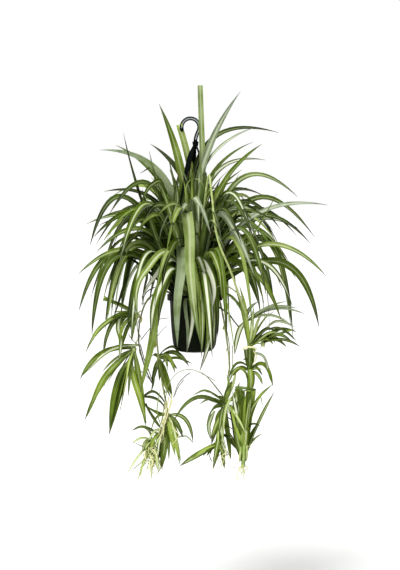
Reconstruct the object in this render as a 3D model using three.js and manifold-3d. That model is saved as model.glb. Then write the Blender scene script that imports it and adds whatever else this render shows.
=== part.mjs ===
// A spider plant in a hanging pot: a tapered plastic pot of soil on a moulded three-strap hanger,
// three crowded rosettes of arching strap leaves, and four hanging runners with their plantlets.
// Millimetres, +Z up. The origin is the saddle of the hook, where the rod that carries it bears.
// -Y is the side that faces the viewer.
import * as THREE from 'three';
import { mergeVertices } from 'three/addons/utils/BufferGeometryUtils.js';
import Module from 'manifold-3d';

const wasm = await Module();
wasm.setup();

// ---------------------------------------------------------------- driving dimensions
const GAP = 0.3; // between pieces that rest against each other

const POT_AXIS_X = 10; // the pot hangs a little to the right of the saddle
const RIM_TOP_Z = -431;
const RIM_RADIUS = 68.5;
const RIM_HEIGHT = 16;
const POT_HEIGHT = 144;
const POT_TOP_RADIUS = 62; // of the wall, right under the rim
const POT_FOOT_RADIUS = 34; // of the flat underside
const POT_CORNER = { inward: 7, height: 27 }; // where the rounded lower corner ends
const POT_WAIST = { inward: 3, height: 68 }; // where the wall grows steeper
const POT_WALL = 2;
const RIM_LIP = 3.5; // width of the rim's flat top
const RIM_BEVEL = { out: 1, up: 2 }; // of the rim's outer edges
const RIM_SHOULDER = 3; // from the rim's top down to the inside of the wall
const POT_SIDES = 20;
const DRAIN_RADIUS = 4;
const DRAIN_SIDES = 6;
const DRAIN_RING_RADIUS = 22;
const DRAIN_COUNT = 5;

const SOIL_EDGE_Z = -452; // where the soil meets the wall
const SOIL_CROWN = 5; // how far the soil stands up in the middle
const SOIL_SHRINK = 0.7; // between soil and wall at its edge, beyond the gap

const HOOK_INNER_RADIUS = 17;
const HOOK_BAND = 9.5; // across the flat face of the hook
const HOOK_DEPTH = 7; // front to back
const HOOK_OPEN_ANGLE = 208; // degrees, where the free end stops
const HOOK_ARM_ANGLE = -22; // degrees, where the bend runs into the arm
const HOOK_SWAY = 2.3; // how far the arm's curve leans out
const ARM_BEND = 22; // heights over the neck: of the curve's middle, of its end
const ARM_TOP = 11;
const ARM_FOOT = 4; // how far the arm reaches into the neck
const HOOK_SEGMENTS = 12;
const NECK = [12.5, 0, -58]; // where the straps part
const NECK_BARREL = { top: 8, bottom: 6.5, length: 12, sides: 12 }; // the boss that the straps leave
const STRAP_AZIMUTHS = [225, 345, 105]; // degrees round the pot
const STRAP_LINE = [[13, -85], [25, -124], [44, -205], [60, -310]]; // radius and height down a strap
const STRAP_STEPS = 12;
const STRAP_WIDTH = 13;
const STRAP_THICKNESS = 2.2;
const STRAP_RISE = 12; // how far above the rim it has reached the rim's radius
const STRAP_DROP = 15; // how far a strap's foot laps over the rim
const LUG = { width: 6, height: 4, length: 6.5 }; // on each foot, in its slot in the rim
const LUG_INWARD = 1.2; // from the rim's face to the lug's middle

const CROWN_RADIUS = 15; // of the packed leaf bases, which the leaves stand out of
const CROWN_TOP_Z = -394;
const CROWN_FOOT_Z = -478;
const CROWN_PROFILE = [
  [0, CROWN_FOOT_Z],
  [CROWN_RADIUS * 0.6, CROWN_FOOT_Z],
  [CROWN_RADIUS, CROWN_FOOT_Z + 14],
  [CROWN_RADIUS, CROWN_TOP_Z - 36],
  [CROWN_RADIUS * 0.72, CROWN_TOP_Z - 14],
  [CROWN_RADIUS * 0.35, CROWN_TOP_Z],
  [0, CROWN_TOP_Z],
]; // radius and height, from the underside's middle to the top
const CROWN_OFFSET = 27; // of each crown from the pot's axis
const CROWN_SIDES = 10;
const ROOT_SPREAD = 4; // how far from its crown's middle a leaf starts
const ROOT_HEIGHTS = [-449, -408]; // of the flattest and the steepest leaf
const ROOT_SLOPES = [42, 86]; // degrees, what counts as flattest and steepest

const FOOT_RADIUS = 3.2; // of a runner where it stands in the soil
const FOOT_DEPTH = 15;
const FOOT_COLLAR = 3; // how far the foot stands up round the stem's start

// ---------------------------------------------------------------- colours
const COLOURS = {
  pot: { color: 0x17211a, roughness: 0.48, metalness: 0 },
  hanger: { color: 0x10201a, roughness: 0.42, metalness: 0 },
  soil: { color: 0x33261b, roughness: 0.95, metalness: 0 },
  leaf: { color: 0x58792f, roughness: 0.5, metalness: 0 },
  runner: { color: 0x7e9a3c, roughness: 0.55, metalness: 0 },
};

// ---------------------------------------------------------------- solids
const radians = (degrees) => (degrees * Math.PI) / 180;
const vec = (p) => new THREE.Vector3(p[0], p[1], p[2]);
const smooth = (points) => new THREE.CatmullRomCurve3(points, false, 'catmullrom', 0.5);

function solidOf(geometry) {
  const bare = geometry.clone();
  bare.deleteAttribute('normal');
  bare.deleteAttribute('uv');
  const merged = mergeVertices(bare, 1e-4);
  const mesh = new wasm.Mesh({
    numProp: 3,
    vertProperties: new Float32Array(merged.attributes.position.array),
    triVerts: new Uint32Array(merged.index.array),
  });
  return new wasm.Manifold(mesh);
}

function geometryOf(solid) {
  const mesh = solid.getMesh();
  const geometry = new THREE.BufferGeometry();
  geometry.setAttribute('position', new THREE.BufferAttribute(new Float32Array(mesh.vertProperties), 3));
  geometry.setIndex(new THREE.BufferAttribute(new Uint32Array(mesh.triVerts), 1));
  geometry.computeVertexNormals();
  return geometry;
}

const fuse = (solids) => solids.reduce((whole, next) => whole.add(next));

const SCRAP_VOLUME = 5; // mm3, more than any sliver and less than any leaf
const SLIVER = 0.01; // a join's edges shorter than about this are closed up

// The largest shell of a fused solid, without the small hollows that crossing leaves seal and any
// sliver beside them. A leaf or plantlet that doesn't reach its stem is an error.
function outerShell(solid) {
  const shells = solid.decompose().sort((a, b) => b.volume() - a.volume());
  if (shells.length > 1 && shells[1].volume() > SCRAP_VOLUME) throw new Error('a piece stands apart');
  return shells[0].asOriginal().simplify(SLIVER);
}

// A closed skin over rings of equally many points, from the first ring to the last or to a point.
// Each ring runs clockwise as seen from its far side, so that the faces point out.
function loft(rings, point) {
  const sides = rings[0].length;
  const positions = rings.flat().flatMap((v) => [v.x, v.y, v.z]);
  const faces = [];
  for (let side = 1; side < sides - 1; side += 1) faces.push(0, side + 1, side);
  for (let ring = 0; ring < rings.length - 1; ring += 1) {
    for (let side = 0; side < sides; side += 1) {
      const next = (side + 1) % sides;
      const [a, b] = [ring * sides + side, ring * sides + next];
      const [c, d] = [b + sides, a + sides];
      faces.push(a, b, c, a, c, d);
    }
  }
  const last = (rings.length - 1) * sides;
  if (point) {
    positions.push(point.x, point.y, point.z);
    for (let side = 0; side < sides; side += 1) {
      faces.push(last + side, last + ((side + 1) % sides), rings.length * sides);
    }
  } else {
    for (let side = 1; side < sides - 1; side += 1) faces.push(last, last + side, last + side + 1);
  }
  const geometry = new THREE.BufferGeometry();
  geometry.setAttribute('position', new THREE.Float32BufferAttribute(positions, 3));
  geometry.setIndex(faces);
  return geometry;
}

// A body of revolution about the upright line at x, y. The outline holds [radius, z] pairs, counted
// from the underside's middle, up the outside and back to the axis.
function turned(outline, x, y, sides) {
  const geometry = new THREE.LatheGeometry(outline.map(([r, z]) => new THREE.Vector2(r, z)), sides);
  geometry.rotateX(Math.PI / 2);
  geometry.translate(x, y, 0);
  return geometry;
}

const atAzimuth = (azimuth, radius, z) => [
  POT_AXIS_X + radius * Math.cos(radians(azimuth)),
  radius * Math.sin(radians(azimuth)),
  z,
];

// ---------------------------------------------------------------- pot and soil
const POT_BASE_Z = RIM_TOP_Z - POT_HEIGHT;

// The outside of the pot from its flat underside to the rim, as [radius, z]: a round lower corner,
// then a wall that opens slightly. inset makes the same line for the inside.
function potWall(inset) {
  const foot = [POT_FOOT_RADIUS - inset * 0.6, POT_BASE_Z + inset];
  const side = [POT_TOP_RADIUS - POT_CORNER.inward - inset, POT_BASE_Z + POT_CORNER.height];
  const corner = new THREE.QuadraticBezierCurve(
    new THREE.Vector2(...foot),
    new THREE.Vector2(side[0] - 2, foot[1] + 1.5),
    new THREE.Vector2(...side),
  );
  const line = corner.getPoints(3).map((p) => [p.x, p.y]);
  line.push([POT_TOP_RADIUS - POT_WAIST.inward - inset, POT_BASE_Z + POT_WAIST.height]);
  return line;
}

function makePot() {
  const wallTop = RIM_TOP_Z - RIM_HEIGHT;
  const outline = [
    [0, POT_BASE_Z],
    ...potWall(0),
    [POT_TOP_RADIUS, wallTop],
    [RIM_RADIUS - RIM_BEVEL.out, wallTop],
    [RIM_RADIUS, RIM_TOP_Z - RIM_BEVEL.up],
    [RIM_RADIUS - RIM_BEVEL.out, RIM_TOP_Z],
    [RIM_RADIUS - RIM_LIP, RIM_TOP_Z],
    [POT_TOP_RADIUS + RIM_BEVEL.out, RIM_TOP_Z - RIM_SHOULDER],
    ...[...potWall(POT_WALL)].reverse(),
    [0, POT_BASE_Z + POT_WALL],
  ];
  let pot = solidOf(turned(outline, POT_AXIS_X, 0, POT_SIDES));
  for (let hole = 0; hole <= DRAIN_COUNT; hole += 1) {
    const ring = hole === DRAIN_COUNT ? 0 : DRAIN_RING_RADIUS;
    const drain = new THREE.CylinderGeometry(DRAIN_RADIUS, DRAIN_RADIUS, 4 * POT_WALL, DRAIN_SIDES);
    drain.rotateX(Math.PI / 2);
    drain.translate(...atAzimuth((360 / DRAIN_COUNT) * hole, ring, POT_BASE_Z));
    pot = pot.subtract(solidOf(drain));
  }
  for (const azimuth of STRAP_AZIMUTHS) pot = pot.subtract(solidOf(lug(azimuth, GAP)));
  return geometryOf(pot);
}

// The lug that holds a strap to the rim, or its slot when grown by a clearance. The slot runs right
// through the rim.
function lug(azimuth, clearance) {
  const box = new THREE.BoxGeometry(
    LUG.length + (clearance ? 2 * POT_WALL : 0),
    LUG.width + 2 * clearance,
    LUG.height + 2 * clearance,
  );
  box.translate(RIM_RADIUS - LUG_INWARD, 0, RIM_TOP_Z - RIM_HEIGHT / 2);
  box.rotateZ(radians(azimuth));
  box.translate(POT_AXIS_X, 0, 0);
  return box;
}

function makeSoil() {
  const outline = [
    [0, POT_BASE_Z + POT_WALL + GAP],
    ...potWall(POT_WALL + GAP),
    [POT_TOP_RADIUS - POT_WALL - GAP - SOIL_SHRINK, SOIL_EDGE_Z],
    [POT_TOP_RADIUS * 0.5, SOIL_EDGE_Z + SOIL_CROWN * 0.7],
    [0, SOIL_EDGE_Z + SOIL_CROWN],
  ];
  let soil = solidOf(turned(outline, POT_AXIS_X, 0, POT_SIDES));
  for (const crown of Object.values(CROWNS)) {
    const hole = [
      [0, CROWN_FOOT_Z - GAP],
      [CROWN_RADIUS + GAP, CROWN_FOOT_Z - GAP],
      [CROWN_RADIUS + GAP, CROWN_TOP_Z],
      [0, CROWN_TOP_Z],
    ];
    soil = soil.subtract(solidOf(turned(hole, crown.x, crown.y, CROWN_SIDES)));
  }
  for (const runner of RUNNERS) {
    const [x, y, z] = runner.stem[0];
    const hole = [
      [0, z - FOOT_DEPTH - GAP],
      [FOOT_RADIUS + GAP, z - FOOT_DEPTH - GAP],
      [FOOT_RADIUS + GAP, z + FOOT_COLLAR],
      [0, z + FOOT_COLLAR],
    ];
    soil = soil.subtract(solidOf(turned(hole, x, y, CROWN_SIDES)));
  }
  return geometryOf(soil);
}

// ---------------------------------------------------------------- hanger
// The flat hook: a round bend over the saddle, then a straight arm down to the neck. Its outline runs
// round the inside of the bend from the free end, down the arm, and back up the outside.
function hookSolid() {
  const centreZ = -HOOK_INNER_RADIUS;
  const outer = HOOK_INNER_RADIUS + HOOK_BAND;
  const [neckX, , neckZ] = NECK;
  const [left, right] = [neckX - HOOK_BAND / 2, neckX + HOOK_BAND / 2];
  const [open, arc] = [radians(HOOK_OPEN_ANGLE), radians(HOOK_ARM_ANGLE)];
  const shape = new THREE.Shape();
  shape.moveTo(HOOK_INNER_RADIUS * Math.cos(open), centreZ + HOOK_INNER_RADIUS * Math.sin(open));
  shape.absarc(0, centreZ, HOOK_INNER_RADIUS, open, arc, true);
  shape.quadraticCurveTo(left + HOOK_SWAY, neckZ + ARM_BEND, left, neckZ + ARM_TOP);
  shape.lineTo(left, neckZ - ARM_FOOT);
  shape.lineTo(right, neckZ - ARM_FOOT);
  shape.lineTo(right, neckZ + ARM_TOP);
  const shoulder = [outer * Math.cos(arc), centreZ + outer * Math.sin(arc)];
  shape.quadraticCurveTo(right + HOOK_SWAY, neckZ + ARM_BEND, ...shoulder);
  shape.absarc(0, centreZ, outer, arc, open, false);
  const extrusion = { depth: HOOK_DEPTH, bevelEnabled: false, curveSegments: HOOK_SEGMENTS };
  const hook = new THREE.ExtrudeGeometry(shape, extrusion);
  hook.rotateX(Math.PI / 2);
  hook.translate(0, HOOK_DEPTH / 2, 0);
  return solidOf(hook);
}

// One strap: out of the neck, bowed outwards, then down outside the rim to its foot.
function strapSolid(azimuth) {
  const rimFace = RIM_RADIUS + GAP + STRAP_THICKNESS / 2;
  const out = new THREE.Vector3(Math.cos(radians(azimuth)), Math.sin(radians(azimuth)), 0);
  const across = new THREE.Vector3(out.y, -out.x, 0);
  const neck = vec(NECK).addScaledVector(out, 1);
  const at = ([radius, z]) => vec(atAzimuth(azimuth, radius, z));
  const path = new THREE.CatmullRomCurve3([
    neck,
    ...STRAP_LINE.map(at),
    at([rimFace, RIM_TOP_Z + STRAP_RISE]),
    at([rimFace, RIM_TOP_Z - STRAP_DROP]),
  ]);
  const rings = [];
  for (let step = 0; step <= STRAP_STEPS; step += 1) {
    const middle = path.getPointAt(step / STRAP_STEPS);
    const along = path.getTangentAt(step / STRAP_STEPS);
    const normal = new THREE.Vector3().crossVectors(across, along).normalize();
    const half = (STRAP_WIDTH / 2) * (step === 0 ? 0.7 : 1);
    const corner = (s, n) => middle.clone()
      .addScaledVector(across, s * half)
      .addScaledVector(normal, (n * STRAP_THICKNESS) / 2);
    rings.push([corner(-1, 1), corner(1, 1), corner(1, -1), corner(-1, -1)]);
  }
  return solidOf(loft(rings)).add(solidOf(lug(azimuth, 0)));
}

function makeHanger() {
  const { top, bottom, length, sides } = NECK_BARREL;
  const neck = new THREE.CylinderGeometry(top, bottom, length, sides);
  neck.rotateX(Math.PI / 2);
  neck.translate(...NECK);
  return geometryOf(fuse([hookSolid(), solidOf(neck), ...STRAP_AZIMUTHS.map(strapSolid)]));
}

// ---------------------------------------------------------------- leaves
// The line of a leaf's midrib. Two points after the root make one clean arch that passes the first
// and ends at the second; more make a smooth curve through them all.
class Arch extends THREE.Curve {
  constructor(root, crest, tip) {
    super();
    const rise = root.distanceTo(crest);
    const share = rise / (rise + crest.distanceTo(tip));
    this.root = root;
    this.tip = tip;
    this.pull = crest.clone()
      .addScaledVector(root, -((1 - share) ** 2))
      .addScaledVector(tip, -(share ** 2))
      .divideScalar(2 * share * (1 - share));
  }

  getPoint(t, target = new THREE.Vector3()) {
    return target.copy(this.root)
      .multiplyScalar((1 - t) ** 2)
      .addScaledVector(this.pull, 2 * t * (1 - t))
      .addScaledVector(this.tip, t ** 2);
  }
}

function midrib(root, through) {
  const points = through.map(vec);
  if (points.length === 2) return new Arch(root, points[0], points[1]);
  return smooth([root, ...points]);
}

// Breadth along a blade, as a share of its greatest: narrow where it leaves the crown, full by a
// third of its length, then a taper that is steepest near the tip.
const ROOT_BREADTH = 0.45;
const FULL_BY = 0.3;
const TAPER = 4.6;
const breadth = (t) => (ROOT_BREADTH + (1 - ROOT_BREADTH) * Math.min(1, t / FULL_BY)) * (1 - t ** TAPER);

const BLADE_STATIONS = [0, 0.14, 0.34, 0.54, 0.72, 0.87];
const FILL_STATIONS = [0, 0.18, 0.42, 0.64, 0.84];
const CUT_SHARE = 0.62; // a trimmed leaf keeps this much of its length
const KEEL = 0.14; // depth of the keel under the midrib, as a share of the breadth
const THINNEST = 0.7;

// A blade with a flat upper face and a keel below. turn rolls it about its midrib, in degrees.
function blade(root, { width, turn = 0, cut = false, through }, steps = BLADE_STATIONS) {
  const path = midrib(root, through);
  const tip = vec(through[through.length - 1]);
  const heading = Math.atan2(tip.y - root.y, tip.x - root.x);
  const level = new THREE.Vector3(Math.sin(heading), -Math.cos(heading), 0);
  const stations = cut ? [...steps, 1] : steps;
  const rings = stations.map((t) => {
    const middle = path.getPointAt(t);
    const along = path.getTangentAt(t);
    const side = level.clone().addScaledVector(along, -level.dot(along)).normalize();
    side.applyAxisAngle(along, radians(turn));
    const up = new THREE.Vector3().crossVectors(side, along);
    const half = (width * breadth(cut ? t * CUT_SHARE : t)) / 2;
    const keel = Math.max(THINNEST, 2 * half * KEEL);
    return [
      middle.clone().addScaledVector(side, -half),
      middle.clone().addScaledVector(side, half),
      middle.clone().addScaledVector(up, -keel),
    ];
  });
  return solidOf(loft(rings, cut ? null : path.getPointAt(1)));
}

// The same sequence of draws each time.
function drawsFrom(seed) {
  let state = seed;
  return (low, high) => {
    state = (state * 16807) % 2147483647;
    return low + ((high - low) * state) / 2147483647;
  };
}

// ---------------------------------------------------------------- rosettes in the pot
const crownAt = (azimuth) => {
  const [x, y] = atAzimuth(azimuth, CROWN_OFFSET, 0);
  return { x, y };
};
const CROWNS = {
  crown_front: crownAt(285),
  crown_right: crownAt(45),
  crown_left: crownAt(165),
};

// The leaves that shape the plant's outline, for each rosette: the points that the midrib passes
// after its root, the last one its tip.
const LEAVES = {
  crown_front: [
    { width: 20, turn: 44, cut: true, through: [[28, -30, -255], [30, -30, -109], [24, -22, 84]] },
    { width: 18, turn: -66, cut: true, through: [[2, -36, -85], [-28, -26, -11]] },
    { width: 21, turn: 62, through: [[58, -44, -40], [121, -72, 64]] },
    { width: 19, turn: 60, through: [[92, -62, -52], [154, -100, -24]] },
    { width: 20, turn: 60, through: [[121, -84, -104], [171, -118, -64]] },
    { width: 18, turn: 30, through: [[158, -112, -270], [206, -130, -181]] },
    { width: 17, turn: 59, through: [[205, -108, -212], [326, -150, -209]] },
    { width: 18, turn: 49, through: [[225, -130, -306], [321, -170, -376]] },
    { width: 21, turn: 49, through: [[240, -112, -356], [309, -130, -501]] },
    { width: 17, turn: 44, through: [[188, -150, -352], [241, -176, -446]] },
    { width: 17, turn: 30, through: [[125, -165, -265], [178, -210, -420]] },
    { width: 18, turn: 30, through: [[150, -152, -368], [214, -190, -478]] },
    { width: 17, turn: 36, through: [[62, -100, -234], [113, -156, -283], [153, -196, -378]] },
    { width: 16, turn: 16, through: [[42, -120, -321], [67, -180, -356], [75, -214, -428]] },
    {
      width: 26,
      turn: 4,
      through: [[-8, -120, -229], [-1, -158, -271], [1, -178, -360], [11, -186, -449], [25, -190, -529]],
    },
    {
      width: 23,
      turn: -10,
      through: [[-18, -104, -307], [-20, -140, -358], [-30, -160, -442], [-30, -164, -541]],
    },
    { width: 17, turn: 14, through: [[16, -100, -355], [39, -132, -416], [54, -138, -494]] },
    {
      width: 17,
      turn: 12,
      through: [[21, -96, -339], [47, -132, -368], [58, -148, -415], [49, -152, -467]],
    },
    { width: 16, turn: 0, through: [[13, -130, -368], [20, -206, -419], [35, -262, -557]] },
    {
      width: 17,
      turn: 8,
      through: [[25, -104, -413], [44, -126, -484], [42, -128, -546], [23, -122, -609]],
    },
    { width: 15, turn: -10, through: [[-1, -92, -400], [6, -116, -480], [-8, -118, -566]] },
    {
      width: 22,
      turn: -25,
      through: [[-35, -100, -360], [-68, -136, -396], [-87, -156, -450], [-93, -160, -520]],
    },
    { width: 18, turn: -25, through: [[-23, -110, -297], [-53, -158, -333], [-67, -180, -407]] },
    { width: 14, turn: -30, through: [[-1, -118, -217], [-25, -160, -229], [-55, -184, -254]] },
    { width: 17, turn: 25, through: [[4, -112, -203], [30, -152, -222], [50, -182, -280]] },
    {
      width: 19,
      turn: -36,
      through: [[-50, -96, -320], [-106, -150, -365], [-126, -180, -412], [-123, -186, -478]],
    },
    { width: 16, turn: -40, through: [[-40, -92, -340], [-92, -124, -390], [-116, -138, -430]] },
    { width: 13, turn: -20, through: [[-35, -90, -230], [-66, -118, -253], [-32, -136, -301]] },
  ],
  crown_right: [
    { width: 16, turn: 59, through: [[112, 24, -18], [221, 40, -28]] },
    { width: 11, turn: 54, through: [[88, 60, -92], [159, 96, -49]] },
    { width: 18, turn: 59, through: [[132, 40, -94], [189, 56, -96]] },
    { width: 18, turn: 59, through: [[190, 28, -136], [268, 30, -188]] },
    { width: 18, turn: 54, through: [[196, 60, -190], [319, 84, -294]] },
    { width: 17, turn: 49, through: [[185, 96, -243], [281, 136, -271]] },
    { width: 16, turn: 54, through: [[205, 4, -236], [299, -10, -306]] },
    { width: 18, turn: 49, through: [[170, -2, -292], [262, -14, -392]] },
    { width: 18, turn: 44, through: [[140, 24, -330], [214, 36, -470]] },
    { width: 17, turn: 40, through: [[122, 10, -350], [176, 12, -486]] },
    { width: 17, turn: 40, through: [[160, 60, -316], [236, 84, -430]] },
    { width: 17, turn: 44, through: [[150, 0, -262], [246, -18, -352]] },
    { width: 17, turn: 44, through: [[110, 110, -170], [200, 190, -190]] },
    { width: 17, turn: 25, through: [[120, 130, -280], [190, 210, -400]] },
    { width: 17, turn: 25, through: [[62, 160, -240], [84, 256, -350]] },
  ],
  crown_left: [
    { width: 24, turn: -62, through: [[-36, -4, -72], [-77, -12, 39]] },
    { width: 20, turn: -62, through: [[-62, 26, -86], [-101, 40, -56]] },
    { width: 22, turn: -58, through: [[-41, -14, -151], [-56, -18, -86]] },
    { width: 23, turn: -56, through: [[-164, 16, -78], [-226, 22, -72]] },
    { width: 17, turn: -54, through: [[-132, 50, -92], [-190, 72, -58]] },
    { width: 18, turn: -50, through: [[-58, 24, -170], [-90, 28, -116], [-127, 32, -130]] },
    { width: 15, turn: -54, through: [[-128, -56, -168], [-162, -64, -34]] },
    { width: 11, turn: -50, through: [[-90, 66, -140], [-106, 84, -72]] },
    { width: 15, turn: -59, through: [[-148, -28, -172], [-211, -42, -176]] },
    { width: 15, turn: -54, through: [[-140, 66, -160], [-200, 96, -186]] },
    { width: 18, turn: -59, through: [[-138, -70, -160], [-194, -98, -230]] },
    { width: 22, turn: -54, through: [[-196, -44, -198], [-246, -50, -309]] },
    { width: 18, turn: -54, through: [[-160, -88, -230], [-231, -122, -286]] },
    { width: 17, turn: -54, through: [[-150, 16, -236], [-219, 24, -300]] },
    { width: 17, turn: -54, through: [[-144, -104, -266], [-221, -152, -320]] },
    { width: 18, turn: -54, through: [[-172, -56, -318], [-271, -84, -376]] },
    { width: 17, turn: -30, through: [[-112, -98, -206], [-170, -148, -356]] },
    { width: 18, turn: -44, through: [[-156, -16, -246], [-218, -20, -378]] },
    { width: 18, turn: -54, through: [[-186, -2, -326], [-279, -6, -474]] },
    { width: 20, turn: -44, through: [[-176, -116, -330], [-234, -148, -519]] },
    { width: 15, turn: -44, through: [[-158, 48, -326], [-224, 66, -456]] },
    { width: 15, turn: -44, through: [[-150, 84, -340], [-209, 116, -494]] },
    { width: 17, turn: -30, through: [[-120, 14, -352], [-170, 20, -462]] },
    { width: 18, turn: -40, through: [[-136, -60, -310], [-190, -96, -456]] },
    { width: 18, turn: -40, through: [[-130, -84, -280], [-196, -128, -402]] },
    { width: 17, turn: -44, through: [[-120, 60, -330], [-176, 88, -476]] },
    { width: 22, turn: -30, through: [[-98, -86, -346], [-150, -128, -500]] },
    {
      width: 22,
      turn: -34,
      through: [[-52, -34, -390], [-80, -52, -462], [-96, -62, -550], [-124, -62, -670]],
    },
    { width: 17, turn: -30, through: [[-80, 130, -200], [-150, 220, -260]] },
    { width: 17, turn: -30, through: [[-90, 110, -290], [-150, 190, -430]] },
  ],
};

// What fills each rosette between those leaves. In each layer the leaves stand at even steps round
// the sector, and reach, crest and tip are drawn within the ranges, which are [low, high] in
// millimetres: reach from the crown, and heights.
const LAYERS = [
  { share: 0.3, reach: [50, 120], crest: [-250, -170], tip: [-170, -100], crestAt: 0.5, width: [12, 16] },
  { share: 0.4, reach: [170, 245], crest: [-250, -180], tip: [-340, -230], crestAt: 0.62, width: [13, 17] },
  { share: 0.3, reach: [150, 225], crest: [-340, -290], tip: [-520, -400], crestAt: 0.62, width: [13, 17] },
];
const FILL_TURN = 30; // degrees, the most that one of them rolls either way
const FILL = {
  crown_front: { seed: 11, leaves: 10, sector: [246, 318] },
  crown_right: { seed: 23, leaves: 20, sector: [-4, 96] },
  crown_left: { seed: 37, leaves: 18, sector: [114, 205] },
};

function fillLeaves(name) {
  const { seed, leaves, sector } = FILL[name];
  const crown = CROWNS[name];
  const draw = drawsFrom(seed);
  const filled = [];
  for (const layer of LAYERS) {
    const count = Math.round(leaves * layer.share);
    for (let place = 0; place < count; place += 1) {
      const turnOf = (place + draw(0.2, 0.8)) / count;
      const heading = radians(sector[0] + (sector[1] - sector[0]) * turnOf);
      const reach = draw(...layer.reach);
      const [outX, outY] = [Math.cos(heading), Math.sin(heading)];
      const at = (radius, z) => [crown.x + radius * outX, crown.y + radius * outY, z];
      filled.push({
        width: draw(...layer.width),
        turn: draw(-FILL_TURN, FILL_TURN),
        through: [at(reach * layer.crestAt, draw(...layer.crest)), at(reach, draw(...layer.tip))],
      });
    }
  }
  return filled;
}

// Flat leaves start low in the crown and steep ones high, as on a plant whose youngest leaves are
// the innermost.
function leafRoot(crown, crest) {
  const [dx, dy] = [crest[0] - crown.x, crest[1] - crown.y];
  const heading = Math.atan2(dy, dx);
  const [low, high] = ROOT_HEIGHTS;
  const slope = THREE.MathUtils.radToDeg(Math.atan2(crest[2] - low, Math.hypot(dx, dy)));
  const steepness = THREE.MathUtils.clamp(THREE.MathUtils.inverseLerp(...ROOT_SLOPES, slope), 0, 1);
  return new THREE.Vector3(
    crown.x + ROOT_SPREAD * Math.cos(heading),
    crown.y + ROOT_SPREAD * Math.sin(heading),
    THREE.MathUtils.lerp(low, high, steepness),
  );
}

function makeCrown(name) {
  const crown = CROWNS[name];
  const knob = turned(CROWN_PROFILE, crown.x, crown.y, CROWN_SIDES);
  const grow = (steps) => (leaf) => blade(leafRoot(crown, leaf.through[0]), leaf, steps);
  const leaves = [
    ...LEAVES[name].map(grow(BLADE_STATIONS)),
    ...fillLeaves(name).map(grow(FILL_STATIONS)),
  ];
  return geometryOf(outerShell(fuse([solidOf(knob), ...leaves])));
}

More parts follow.
